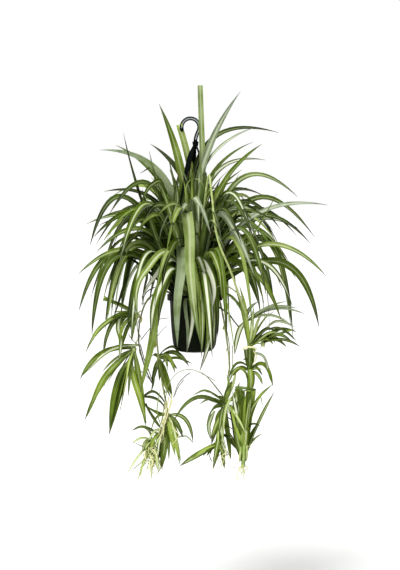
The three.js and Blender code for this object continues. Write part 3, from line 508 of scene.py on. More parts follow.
@dataclass(frozen=True)
class PottingMix(Finish):
    """Moist peat with bark: dark crumbs, fully rough, with paler fibres."""

    wet: str = "#1d140d"
    dry: str = "#5a4330"

    def surface(self, tree: Tree) -> bpy.types.NodeSocket:
        """Wet and dry crumbs of 2 to 9 mm, with a coarse bump."""
        here = tree.add("TexCoord", "Object")
        crumbs = tree.add("TexNoise", Vector=here, Scale=per_mm(2.2), Detail=4.0)
        lumps = tree.add("TexNoise", Vector=here, Scale=per_mm(9.0), Detail=3.0)
        small = tree.add("MapRange", Value=crumbs, From_Min=0.35, From_Max=0.7)
        large = tree.add("MapRange", Value=lumps, From_Min=0.3, From_Max=0.65)
        share = tree.add("Math", operation="MULTIPLY", _0=small, _1=large)
        colour = tree.add("Mix", 2, data_type="RGBA", _0=share, _6=self.wet, _7=self.dry)
        rough = tree.add("Bump", Strength=0.7, Distance=1.5 * MM, Height=crumbs)
        return tree.add("BsdfPrincipled", Base_Color=colour, Roughness=0.95, Normal=rough)


@dataclass(frozen=True)
class Perlite(Finish):
    """Expanded volcanic glass: chalk-white crumbs, rough and pitted."""

    chalk: str = "#d9d6cc"
    dusty: str = "#8f8672"

    def surface(self, tree: Tree) -> bpy.types.NodeSocket:
        """White, dusted with peat in its pits of about a millimetre."""
        here = tree.add("TexCoord", "Object")
        pits = tree.add("TexNoise", Vector=here, Scale=per_mm(1.2), Detail=3.0)
        share = tree.add("MapRange", Value=pits, From_Min=0.55, From_Max=0.35)
        colour = tree.add("Mix", 2, data_type="RGBA", _0=share, _6=self.chalk, _7=self.dusty)
        rough = tree.add("Bump", Strength=0.5, Distance=0.6 * MM, Height=pits)
        return tree.add("BsdfPrincipled", Base_Color=colour, Roughness=0.9, Normal=rough)


@dataclass(frozen=True)
class PaleFloor(Finish):
    """A matt white studio floor with the faintest mottling."""

    white: str = "#fbfbfa"
    grey: str = "#f6f6f5"

    def surface(self, tree: Tree) -> bpy.types.NodeSocket:
        """Near-white and rough, in patches of about 300 mm."""
        here = tree.add("TexCoord", "Object")
        patches = tree.add("TexNoise", Vector=here, Scale=per_mm(300.0), Detail=2.0)
        colour = tree.add("Mix", 2, data_type="RGBA", _0=patches, _6=self.white, _7=self.grey)
        return tree.add("BsdfPrincipled", Base_Color=colour, Roughness=0.9)


LEAF = LeafSkin("strap_leaf_striped", "leaf")
YOUNG_LEAF = LeafSkin("young_plantlet_leaf", "runner", deep="#273701", green="#5f7611",
                      light="#98ae40", lime="#c2ce8a", back="#8ea45c")
STEM = StemSkin("runner_skin", "runner")
POT = MouldedPlastic("moulded_polypropylene_pot", "pot")
HANGER = MouldedPlastic("moulded_hanger_plastic", "hanger", body="#040706", scuff="#0d1411",
                        lime="#39413c", roughness=0.36)
PEAT = PottingMix("moist_peat_mix", "soil")
CHALK = Perlite("perlite_grains", "soil")
FLOOR = PaleFloor("studio_floor", "")


# ---- leaves
@dataclass(frozen=True)
class Look:
    """How a kind of blade looks, each value drawn from a range of 0 to 1 or a little more."""

    tone: Pair
    stripe: Pair
    cream: Pair = (0.0, 0.2)
    # How much painted sheen: a grey highlight laid on the blade.
    bloom: Pair = (0.0, 0.06)
    age: Pair = (0.0, 0.4)


class Growth(Enum):
    """The kinds of blade on the plant."""

    MATURE = Look((0.4, 0.75), (0.3, 0.8), (0.0, 0.35))
    # Dark blades: a deeper green that some leaves have, and painted shade for blades deep in the plant.
    DARK = Look((0.1, 0.35), (0.1, 0.5))
    # Near-black blades: painted shade, for blades that lie in shadow.
    PAINTED_SHADE = Look((0.0, 0.05), (0.0, 0.1))
    BRIGHT = Look((0.75, 1.05), (0.2, 0.7), (0.0, 0.4))
    PALE = Look((0.85, 1.1), (1.3, 1.8), (0.1, 0.4), age=(0.0, 0.2))
    # Blades with a strong painted sheen, a grey highlight over the stripe.
    SHEENED = Look((0.4, 0.6), (0.7, 1.2), (0.2, 0.5), (0.35, 0.6))
    STRIPED = Look((0.25, 0.5), (0.75, 1.15), (0.6, 0.9))
    WHITE = Look((0.35, 0.6), (1.4, 1.8), (0.8, 1.0))
    YOUNG = Look((0.25, 0.75), (0.1, 0.7), (0.1, 0.5), age=(0.0, 0.35))
    LIME = Look((0.9, 1.1), (0.8, 1.4), (0.2, 0.6), age=(0.0, 0.2))
    PLAIN = Look((0.7, 0.9), (0.35, 0.6), (0.1, 0.3), (0.2, 0.3), (0.0, 0.2))
    # Grey-green blades: mostly painted sheen over a faint stripe.
    SILVER = Look((0.55, 0.75), (0.0, 0.3), (0.2, 0.4), (0.45, 0.55), (0.0, 0.2))
    BRACT = Look((0.7, 1.0), (0.0, 0.3), age=(0.5, 0.9))


MATURE, DARK, PAINTED_SHADE, BRIGHT, PALE, SHEENED, STRIPED, WHITE, YOUNG, LIME, PLAIN, SILVER, BRACT = Growth
KIND_SHARES = {MATURE: 0.4, BRIGHT: 0.14, DARK: 0.3, SHEENED: 0.09, STRIPED: 0.07}


@dataclass
class Leaf:
    """One strap leaf, given by its breadth, the points that its midrib passes and its roll.

    The turn is in degrees about the midrib. With none, the leaf keeps its face to the front.
    """

    width: float
    turn: float | None
    through: Sequence[Point]
    growth: Growth | None = None
    cut: bool = False


@dataclass(frozen=True)
class BladeShape:
    """How a blade is built: its breadth along its length, its channel and its waves."""

    root_breadth: float = 0.45
    full_by: float = 0.3
    taper: float = 4.6
    cut_share: float = 0.62
    channel: float = 0.16
    channel_power: float = 1.3
    least_half: float = 0.35
    thickness: float = 0.62
    edge_thickness: float = 0.3
    thin_below: float = 2.5
    wave: float = 0.05
    waves: Pair = (1.5, 3.5)
    waves_over: float = 240.0
    twist: float = 14.0
    sway: float = 6.0
    ripple: Pair = (0.4, 1.0)
    bunching: float = 0.06
    stations: int = 34
    columns: tuple[float, ...] = (-1.0, -0.86, -0.55, -0.24, 0.0, 0.24, 0.55, 0.86, 1.0)

    def breadth(self, t: np.ndarray) -> np.ndarray:
        """Share of the full width: narrow at the root, full by a third, then a long taper."""
        opening = self.root_breadth + (1 - self.root_breadth) * smoothstep(0.0, self.full_by, t)
        return opening * (1 - t**self.taper)

    def grow(self, batch: Batch, root: np.ndarray, leaf: Leaf, line: Line, draw: Random) -> None:
        """Adds one blade as a closed shell.

        At each station the midrib's point is the bottom of a shallow channel. A point at share s
        of the half breadth lies s out to the side and up by channel |s|^power, with a wave along
        the margin, and the under face is the same surface moved down by the thickness. The blade
        twists evenly towards its tip and sways once to either side on the way.

        Args:
            batch: Where the blade goes.
            root: Where the blade leaves its crown.
            leaf: The blade.
            line: Its midrib.
            draw: Random numbers for its small differences.
        """
        t = np.linspace(0.0, 1.0, self.stations)
        t = t + self.bunching * np.sin(2 * math.pi * t) / (2 * math.pi)
        middle, along = line.at(t), line.along(t)
        tip = np.asarray(leaf.through[-1], float)
        flat = np.array([1.0 if tip[2] > root[2] else -1.0, 0.0, 0.0])
        if leaf.turn is not None:
            heading = math.atan2(tip[1] - root[1], tip[0] - root[0])
            flat = np.array([math.sin(heading), -math.cos(heading), 0.0])
        side = unit(flat - along * (along @ flat)[:, None])
        twist = draw.uniform(-self.twist, self.twist) * t
        twist = twist + draw.uniform(-self.sway, self.sway) * np.sin(2 * math.pi * t)
        side = turned_about(side, along, np.radians((leaf.turn or 0.0) + twist))
        up = np.cross(side, along)
        along_whole = t * self.cut_share if leaf.cut else t
        half = np.maximum(leaf.width * self.breadth(along_whole) / 2, self.least_half)
        s = np.asarray(self.columns)
        lift = self.channel * 2 * half[:, None] * (np.abs(s[None]) ** self.channel_power - 1.0)
        ripple = draw.uniform(*self.ripple) * self.wave * leaf.width * smoothstep(0.08, 0.3, t)
        phase, waves = draw.uniform(0.0, TURN, 2), draw.uniform(*self.waves) * line.length / self.waves_over
        margin = np.sin(2 * math.pi * waves * t[:, None] + phase[(s > 0).astype(int)][None])
        lift = lift + ripple[:, None] * np.abs(s[None]) ** 2 * margin * (1 - t[:, None] ** 4)
        thick = self.edge_thickness + (self.thickness - self.edge_thickness) * (1 - s**2)
        thick = thick[None] * np.clip(half[:, None] / self.thin_below, 0.35, 1.0)
        sideways = side[:, None] * (half[:, None] * s[None])[..., None]
        top = middle[:, None] + sideways + up[:, None] * (lift + thick / 2)[..., None]
        below = middle[:, None] + sideways + up[:, None] * (lift - thick / 2)[..., None]
        grid = np.concatenate([top, below[:, ::-1]], axis=1)
        u = (np.concatenate([s, s[::-1]]) + 1) / 2
        under = np.repeat([0.0, 1.0], len(s))[None]
        drawn = {name: draw.uniform(*limits) for name, limits in vars(leaf.growth.value).items()}
        batch.tube(grid, meshed(u[None], along_whole[:, None]), under=under, **drawn)


STRAP = BladeShape()
SMALL_STRAP = BladeShape(stations=18, columns=(-1.0, -0.7, -0.3, 0.0, 0.3, 0.7, 1.0), wave=0.04)


def midrib(root: np.ndarray, through: Sequence[Point]) -> Line:
    """One arch for two points after the root, or a smooth line through more."""
    points = [np.asarray(p, float) for p in through]
    if len(points) == 2:
        return Line.arch(root, points[0], points[1])
    return Line.through([tuple(root), *through])


@dataclass(frozen=True)
class Layer:
    """A ring of filling leaves. Reach is from the crown, and crest and tip are heights."""

    share: float
    reach: Pair
    crest: Pair
    tip: Pair
    crest_at: float
    width: Pair


LAYERS = (
    Layer(0.3, (50, 120), (-250, -170), (-170, -100), 0.5, (12, 16)),
    Layer(0.4, (170, 245), (-250, -180), (-340, -230), 0.62, (13, 17)),
    Layer(0.3, (150, 225), (-340, -290), (-520, -400), 0.62, (13, 17)),
)
THICKET = (
    Layer(0.26, (60, 130), (-300, -230), (-330, -210), 0.6, (17, 21)),
    Layer(0.2, (60, 130), (-240, -160), (-170, -100), 0.5, (13, 18)),
    Layer(0.28, (170, 245), (-250, -180), (-340, -230), 0.62, (11, 15)),
    Layer(0.16, (185, 245), (-340, -280), (-560, -430), 0.62, (11, 14)),
)


def same_draws(seed: int) -> Callable[[float, float], float]:
    """The same sequence of numbers between two limits each time, as on the solids."""
    state = seed

    def draw(low: float, high: float) -> float:
        """The next number, by the Lehmer rule with multiplier 16807."""
        nonlocal state
        state = state * 16807 % 2147483647
        return low + (high - low) * state / 2147483647

    return draw


@dataclass
class Crown:
    """One rosette in the pot, whose leaves arch out of its own sector."""

    name: str
    azimuth: float
    leaves: list[Leaf]
    fill: int
    seed: int
    sector: Pair
    more: int
    wide: Pair
    pot_axis_x: float = 10.0
    offset: float = 27.0
    root_spread: float = 4.0
    root_heights: Pair = (-449.0, -408.0)
    root_slopes: Pair = (42.0, 86.0)
    core_heights: Pair = (-478.0, -400.0)
    core_radius: float = 14.0
    core_ribs: int = 7
    bare_front: Pair = (-30.0, 66.0)
    bare_from: float = -150.0

    @property
    def middle(self) -> Pair:
        """Where the rosette stands, as x and y."""
        angle = math.radians(self.azimuth)
        return self.pot_axis_x + self.offset * math.cos(angle), self.offset * math.sin(angle)

    def root(self, crest: Point) -> np.ndarray:
        """Flat leaves start low in the crown and steep ones high."""
        x, y = self.middle
        heading = math.atan2(crest[1] - y, crest[0] - x)
        rise = crest[2] - self.root_heights[0]
        slope = math.degrees(math.atan2(rise, math.hypot(crest[0] - x, crest[1] - y)))
        steep = (slope - self.root_slopes[0]) / (self.root_slopes[1] - self.root_slopes[0])
        height = between(self.root_heights, min(1.0, max(0.0, steep)))
        return np.array([x + self.root_spread * math.cos(heading),
                         y + self.root_spread * math.sin(heading), height])

    def curtains(self, leaf: Leaf) -> bool:
        """Whether a filling leaf would hang before the broad leaves in the middle of the front."""
        x, y, _ = leaf.through[-1]
        return self.bare_front[0] < x < self.bare_front[1] and y < self.bare_from

    def filling(self, count: int, seed: int, sector: Pair, layers: Sequence[Layer]) -> list[Leaf]:
        """Leaves at even steps round a sector, their reach and heights drawn in layers.

        Args:
            count: How many leaves in all.
            seed: Of the draws.
            sector: From which heading to which they stand, in degrees.
            layers: The rings that they are shared among.

        Returns:
            The leaves.
        """
        draw = same_draws(seed)
        x, y = self.middle
        made = []
        for layer in layers:
            some = round(count * layer.share)
            for place in range(some):
                heading = math.radians(between(sector, (place + draw(0.2, 0.8)) / some))
                reach = draw(*layer.reach)
                width, turn = draw(*layer.width), 50 * math.cos(heading) + draw(-20, 20)
                crest, tip = (
                    (x + far * math.cos(heading), y + far * math.sin(heading), draw(*heights))
                    for far, heights in ((reach * layer.crest_at, layer.crest), (reach, layer.tip)))
                made.append(Leaf(width, turn, (crest, tip)))
        return made

    def build(self) -> bpy.types.Object:
        """Grows every leaf of the rosette round its packed leaf bases."""
        batch = Batch()
        draw = np.random.default_rng(self.seed)
        every = self.leaves + self.filling(self.fill, self.seed, self.sector, LAYERS)
        thicket = self.filling(self.more, self.seed + 100, self.wide, THICKET)
        every += [leaf for leaf in thicket if not self.curtains(leaf)]
        kinds, shares = tuple(KIND_SHARES), tuple(KIND_SHARES.values())
        for leaf in every:
            root = self.root(leaf.through[0])
            chosen = kinds[draw.choice(len(kinds), p=shares)]
            leaf.growth = leaf.growth or chosen
            STRAP.grow(batch, root, leaf, midrib(root, leaf.through), draw)
        self.core(batch)
        piece = batch.piece(self.name + "_leaves", LEAF)
        return dressed(piece, LEAF, self.name)

    def core(self, batch: Batch) -> None:
        """The stub that the leaf bases clasp: a slim round body, ribbed by the bases."""
        t, angle = np.linspace(0.0, 1.0, 24)[:, None], turns(40)[None]
        bulge = np.sqrt(np.clip(1.0 - (np.abs(2.1 * t - 0.75)) ** 2.4 * 0.28, 0.02, 1.0))
        radius = self.core_radius * bulge * (1 - 0.75 * smoothstep(0.55, 1.0, t))
        radius = radius * (1.0 + 0.07 * np.sin(self.core_ribs * angle + 5 * t))
        x, y = self.middle
        grid = meshed(x + radius * np.cos(angle), y + radius * np.sin(angle),
                      between(self.core_heights, t))
        batch.tube(grid, meshed(0.2 + 0 * angle, 0.08 + 0 * t), under=0.0, tone=0.6, stripe=0.1,
                   cream=0.0, bloom=0.0, age=0.0)


def dressed(piece: bpy.types.Object, finish: Finish, *nodes: str) -> bpy.types.Object:
    """Ties a piece to the body and hides the nodes that it stands for."""
    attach(piece, "root")
    if nodes:
        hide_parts(*nodes)
    log.info("%s: %d faces", piece.name, len(piece.data.polygons))
    return piece


# ---- stems
@dataclass
class Strand:
    """A round stem, root or stalk along points, given by its two thicknesses."""

    through: Sequence[Point]
    thickness: Pair
    tone: float = 0.4
    age: Pair = (0.0, 0.2)
    joints: int = 0
    sides: int = 10
    spacing: float = 5.0
    joint_swell: float = 0.34
    joint_length: float = 3.5
    end_length: float = 3.0

    def grow(self, batch: Batch) -> Line:
        """Adds the stem as a closed skin with round ends.

        The radius runs evenly from one thickness to the other, swells by a third in a bell curve
        at each joint, and closes over its last millimetres as a half round.

        Args:
            batch: Where the skin goes.

        Returns:
            The stem's line.
        """
        line = Line.through(self.through)
        t = np.linspace(0.0, 1.0, max(10, int(line.length / self.spacing)))
        radius = between(self.thickness, t) / 2
        for place in (np.arange(self.joints) + 0.7) / max(self.joints, 1):
            off = (t - place) * line.length / self.joint_length
            radius = radius * (1 + self.joint_swell * np.exp(-(off**2)))
        from_end = np.minimum(t, 1 - t) * line.length / self.end_length
        radius = radius * np.sqrt(np.clip(1 - (1 - from_end).clip(0) ** 2, 0.06, 1.0))
        swept(batch, line, round_ring(self.sides), t, np.stack([radius, radius], axis=1),
              tone=self.tone, age=between(self.age, t)[:, None])
        return line


@dataclass
class Plantlet:
    """A young rosette on a runner: its hub, and leaves as (width, lift, tip).

    lift is how far a leaf arches over the straight line from the hub to its tip.
    """

    hub: Point
    leaves: Sequence[tuple[float, float, Point]]
    branch: Point | None = None
    cut: int = 0
    sprouts: int = 5
    roots: int = 4
    crest_at: float = 0.45
    roll: float = 40.0
    growth: Growth = YOUNG
    tangle: int = 0
    drop: float = 60.0
    wander: float = 0.16
    forward: float = 0.3
    sprout_width: Pair = (7, 11)
    sprout_lift: Pair = (4, 18)
    sprout_length: Pair = (0.35, 0.75)
    stub_length: Pair = (7, 15)
    stub_thickness: Pair = (2.4, 1.3)
    root_thickness: Pair = (3.2, 1.8)
    branch_thickness: Pair = (3.0, 3.2)
    collar_radius: float = 5.5
    collar_length: float = 14.0

    def grow(self, blades: Batch, stems: Batch, draw: Random) -> None:
        """Adds the leaves, the young ones among them, the branch and root stubs.

        Args:
            blades: Where the leaves go.
            stems: Where branch, hub and roots go.
            draw: Random numbers for what differs.
        """
        hub = np.asarray(self.hub, float)
        if self.branch:
            bend = (hub + np.asarray(self.branch)) / 2 + (0, 0, 5.0)
            Strand((self.branch, tuple(bend), self.hub), self.branch_thickness).grow(stems)
        for order, (width, lift, tip) in enumerate(self.leaves):
            cut = order < self.cut
            end = hub + (np.asarray(tip) - hub) * (draw.uniform(0.94, 1.0) if cut else 1.0)
            self.blade(blades, hub, width, lift, end, cut, draw)
        reach = [float(np.linalg.norm(np.asarray(tip) - hub)) for _, _, tip in self.leaves]
        for _ in range(self.sprouts):
            a, b = draw.choice(len(self.leaves), 2, replace=len(self.leaves) < 2)
            share = draw.uniform(0.3, 0.7)
            aim = share * (np.asarray(self.leaves[a][2]) - hub) + (1 - share) * (
                np.asarray(self.leaves[b][2]) - hub)
            aim = aim + draw.uniform(-0.22, 0.22, 3) * np.median(reach)
            tip = hub + unit(aim) * draw.uniform(*self.sprout_length) * np.median(reach)
            width, lift = draw.uniform(*self.sprout_width), draw.uniform(*self.sprout_lift)
            self.blade(blades, hub, width, lift, tip, False, draw)
        self.collar(stems, hub)
        for _ in range(self.roots):
            heading, length = draw.uniform(0, TURN), draw.uniform(*self.stub_length)
            way = np.array([math.cos(heading) * 0.5, math.sin(heading) * 0.5, -1.0])
            foot = hub + way * 3
            tip = foot + unit(way + draw.uniform(-0.35, 0.35, 3)) * length
            middle = (foot + tip) / 2 + draw.uniform(-1.5, 1.5, 3)
            Strand((tuple(foot), tuple(middle), tuple(tip)), self.stub_thickness, tone=1.0,
                   age=(0.15, 0.3), sides=8).grow(stems)
        for _ in range(self.tangle):
            self.root(stems, hub, draw)

    def root(self, batch: Batch, hub: np.ndarray, draw: Random) -> None:
        """One long curly air root: six points that wander sideways as they drop from the hub."""
        fall = np.linspace(0.0, draw.uniform(0.4, 1.0) * self.drop, 6)
        stray = np.cumsum(draw.uniform(-1.0, 1.0, (6, 2)) * self.drop * self.wander, axis=0)
        stray -= stray[0]
        points = hub + np.column_stack([stray[:, 0], stray[:, 1] - self.forward * fall, -fall])
        Strand([tuple(p) for p in points], self.root_thickness, tone=draw.uniform(0.4, 1.3),
               age=(0.0, 0.1), sides=6).grow(batch)

    def blade(self, batch: Batch, hub: np.ndarray, width: float, lift: float, tip: np.ndarray,
              cut: bool, draw: Random) -> None:
        """Adds one leaf of the plantlet, its upper face rolled towards the viewer."""
        crest = hub + (tip - hub) * self.crest_at + (0, 0, lift)
        roll = (self.roll if tip[0] > hub[0] else -self.roll) + draw.uniform(-14, 14)
        leaf = Leaf(width, None if cut else roll, (tuple(crest), tuple(tip)), self.growth, cut)
        SMALL_STRAP.grow(batch, hub, leaf, midrib(hub, leaf.through), draw)

    def collar(self, batch: Batch, hub: np.ndarray) -> None:
        """The clasping leaf bases round the hub: a barrel with five ribs, most of it below."""
        t, angle = np.linspace(0.0, 1.0, 12)[:, None], turns(24)[None]
        radius = self.collar_radius * np.sqrt(np.clip(1 - (2 * t - 1) ** 4, 0.05, 1))
        radius = radius * (1 + 0.1 * np.sin(5 * angle + 3 * t))
        grid = meshed(hub[0] + radius * np.cos(angle), hub[1] + radius * np.sin(angle),
                      hub[2] - 8 + self.collar_length * t)
        batch.tube(grid, meshed(angle / TURN, t * self.collar_length * MM), tone=0.35, age=0.1)


@dataclass
class Runner:
    """A hanging stolon with its plantlets."""

    name: str
    thickness: Pair
    stem: Sequence[Point]
    plantlets: Sequence[Plantlet]
    seed: int = 5
    age: Pair = (0.05, 0.3)
    tone: float = 0.4
    extra: Sequence[Leaf] = ()
    strands: Sequence[Strand] = ()
    reach: float = 22.0
    bract_width: float = 6.5
    bract_length: Pair = (14, 26)
    bracts_at: Sequence[float] = (0.3, 0.95, 0.13)
    joints_per_point: float = 0.7

    def seat(self, line: Line, place: Point) -> np.ndarray:
        """The point of the stem or the hub nearest to a place, or the place where none is near."""
        near = np.vstack([line.points, [plantlet.hub for plantlet in self.plantlets]])
        gap = np.linalg.norm(near - place, axis=1)
        return near[gap.argmin()] if gap.min() < self.reach else np.asarray(place, float)

    def build(self) -> list[bpy.types.Object]:
        """Grows the stem as one piece and the leaves with their bracts as another."""
        blades, stems = Batch(), Batch()
        draw = np.random.default_rng(self.seed + len(self.stem))
        line = Strand(self.stem, self.thickness, self.tone, self.age,
                      joints=int(len(self.stem) * self.joints_per_point)).grow(stems)
        for plantlet in self.plantlets:
            plantlet.grow(blades, stems, draw)
        for share in np.arange(*self.bracts_at):
            self.bract(blades, line, share, draw)
        for strand in self.strands:
            strand.grow(stems)
        for leaf in self.extra:
            root = self.seat(line, leaf.through[0])
            SMALL_STRAP.grow(blades, root, leaf, midrib(root, leaf.through[1:]), draw)
        leaves = dressed(blades.piece(self.name + "_leaves", YOUNG_LEAF), YOUNG_LEAF, self.name)
        stem = dressed(stems.piece(self.name + "_stem", STEM), STEM)
        return [leaves, stem]

    def bract(self, batch: Batch, line: Line, share: float, draw: Random) -> None:
        """A papery pointed scale that clasps the stem at a joint."""
        root = line.at(np.array([share]))[0]
        along = line.along(np.array([share]))[0]
        away = unit(np.cross(along, draw.normal(size=3)))
        length = draw.uniform(*self.bract_length)
        crest = root + along * length * 0.5 + away * 4
        tip = root + along * length * 0.9 + away * 9
        leaf = Leaf(self.bract_width, draw.uniform(-40, 40), (tuple(crest), tuple(tip)), BRACT)
        SMALL_STRAP.grow(batch, root, leaf, midrib(root, leaf.through), draw)


# ---- pot and soil
def rounded(corners: Sequence[Pair], reach: float, steps: int = 4) -> np.ndarray:
    """A closed outline with its corners rounded.

    Args:
        corners: The corners in order.
        reach: How far from a corner its rounding starts, or less where a side is short.
        steps: Points on each rounding, an even number or an even number of corners.

    Returns:
        Points by 2, each corner a quadratic Bezier that is pulled to it.
    """
    p = np.asarray(corners, float)
    sides = np.stack([np.roll(p, 1, axis=0) - p, np.roll(p, -1, axis=0) - p])
    lengths = np.linalg.norm(sides, axis=-1, keepdims=True)
    start, end = p + sides / lengths * np.minimum(reach, 0.45 * lengths)
    t = np.linspace(0.0, 1.0, steps)[None, :, None]
    curve = (1 - t) ** 2 * start[:, None] + 2 * t * (1 - t) * p[:, None] + t**2 * end[:, None]
    return curve.reshape(-1, 2)


def bent(start: Pair, pull: Pair, end: Pair, steps: int) -> list[Pair]:
    """Points of the quadratic Bezier from start to end that is pulled towards a point."""
    t = np.linspace(0.0, 1.0, steps)[:, None]
    curve = (1 - t) ** 2 * np.array(start) + 2 * t * (1 - t) * np.array(pull) + t**2 * np.array(end)
    return [tuple(p) for p in curve]


def revolved(batch: Batch, outline: np.ndarray, middle: Pair, around: int) -> None:
    """Turns a closed outline of (radius, height) about the upright line through middle."""
    angle, radius, height = turns(around)[:, None], outline[None, :, 0], outline[None, :, 1]
    grid = meshed(middle[0] + radius * np.cos(angle), middle[1] + radius * np.sin(angle), height)
    batch.tube(grid, meshed(angle / (2 * math.pi), height * MM), joined=True)


def crisp(piece: bpy.types.Object, degrees: float = 38.0) -> None:
    """Shades a piece smooth, apart from edges that turn by more than degrees."""
    piece.data.shade_smooth()
    piece.data.set_sharp_from_angle(angle=math.radians(degrees))


def cut_out(piece: bpy.types.Object, cutter: bpy.types.Object) -> None:
    """Takes the closed meshes of one object out of another, and removes them."""
    modifier = piece.modifiers.new("cut", "BOOLEAN")
    modifier.operation = "DIFFERENCE"
    modifier.solver = "EXACT"
    modifier.object = cutter
    whole = piece.evaluated_get(bpy.context.evaluated_depsgraph_get())
    result = bpy.data.meshes.new_from_object(whole)
    piece.modifiers.clear()
    old, piece.data = piece.data, result
    bpy.data.meshes.remove(old)
    bpy.data.objects.remove(cutter)
    result.name = piece.name


STRAP_AZIMUTHS = (225.0, 345.0, 105.0)


@dataclass
class Pot:
    """A tapered pot with a banded rim, a round lower corner, a foot ring and drain holes."""

    axis_x: float = 10.0
    rim_top: float = -431.0
    rim_radius: float = 68.5
    rim_height: float = 16.0
    height: float = 144.0
    top_radius: float = 62.0
    foot_radius: float = 34.0
    corner: Pair = (7.0, 27.0)
    waist: Pair = (3.0, 68.0)
    wall: float = 2.0
    drain_radius: float = 4.0
    drain_ring: float = 22.0
    drains: int = 5
    slot: Pair = (6.6, 4.6)

    def side(self, inset: float) -> list[Pair]:
        """The wall from the foot to the rim, as (radius, height), moved in by inset."""
        base = self.rim_top - self.height
        foot = (self.foot_radius - inset * 0.6, base + inset)
        side = (self.top_radius - self.corner[0] - inset, base + self.corner[1])
        waist = (self.top_radius - self.waist[0] - inset, base + self.waist[1])
        top = (self.top_radius - inset, self.rim_top - self.rim_height)
        line = bent(foot, (side[0] - 2, foot[1] + 1.5), side, 14)[1:]
        swell = ((side[0] + waist[0]) / 2 + 0.35, (side[1] + waist[1]) / 2)
        return line + [swell, waist, ((waist[0] + top[0]) / 2, (waist[1] + top[1]) / 2)]

    def outline(self) -> np.ndarray:
        """The closed section: under the foot, up the wall, over the rim, down inside."""
        base, rim, top = self.rim_top - self.height, self.rim_radius, self.rim_top
        under = top - self.rim_height
        rows = [(self.drain_radius, base + 1.4), (26.5, base + 1.4), (28.0, base + 0.3),
                (29.0, base), (33.0, base), (34.6, base + 0.25)]
        rows += self.side(0.0)
        rows += [(self.top_radius - 0.25, under - 3.0), (self.top_radius, under - 0.6)]
        rows += bent((self.top_radius + 0.6, under), (rim, under), (rim, under + 2.2), 5)
        rows += [(rim - 0.25, under + 5.0), (rim - 0.25, top - 5.0)]
        rows += bent((rim, top - 3.2), (rim, top), (rim - 2.0, top), 5)
        rows += bent((rim - 3.0, top), (self.top_radius, top), (self.top_radius - 0.6, top - 4.0), 5)
        rows += [(self.top_radius - self.wall, under)]
        rows += self.side(self.wall)[::-1]
        rows += [(33.0, base + self.wall + 0.1), (self.drain_radius, base + self.wall + 1.0)]
        return np.array(rows)

    def build(self) -> bpy.types.Object:
        """Turns the section, then cuts the drain holes and the straps' slots."""
        batch = Batch()
        revolved(batch, self.outline(), (self.axis_x, 0.0), 120)
        piece = batch.piece("pot_shell", POT)
        holes = Batch()
        ends, same, up = np.array([0.0, 1.0]), np.ones((2, 2)), np.array([0.0, 0.0, 1.0])
        foot = np.array([self.axis_x, 0.0, self.rim_top - self.height])
        for turn in range(self.drains):
            hole = foot + level(360 / self.drains * turn) * self.drain_ring
            drain = Line(np.array([hole - 5 * up, hole + 5 * up]))
            swept(holes, drain, round_ring(20) * self.drain_radius, ends, same, level(0.0))
        band = np.array([self.axis_x, 0.0, self.rim_top - self.rim_height / 2])
        box = rounded([(-1, -1), (1, -1), (1, 1), (-1, 1)], 0.1, 2) * np.array(self.slot) / 2
        for azimuth in STRAP_AZIMUTHS:
            out = level(azimuth)
            way = Line(np.array([band + out * (self.rim_radius - 9), band + out * (self.rim_radius + 4)]))
            swept(holes, way, box, ends, same, np.array([-out[1], out[0], 0.0]))
        cut_out(piece, holes.piece("pot_holes"))
        crisp(piece)
        return dressed(piece, POT, "pot")


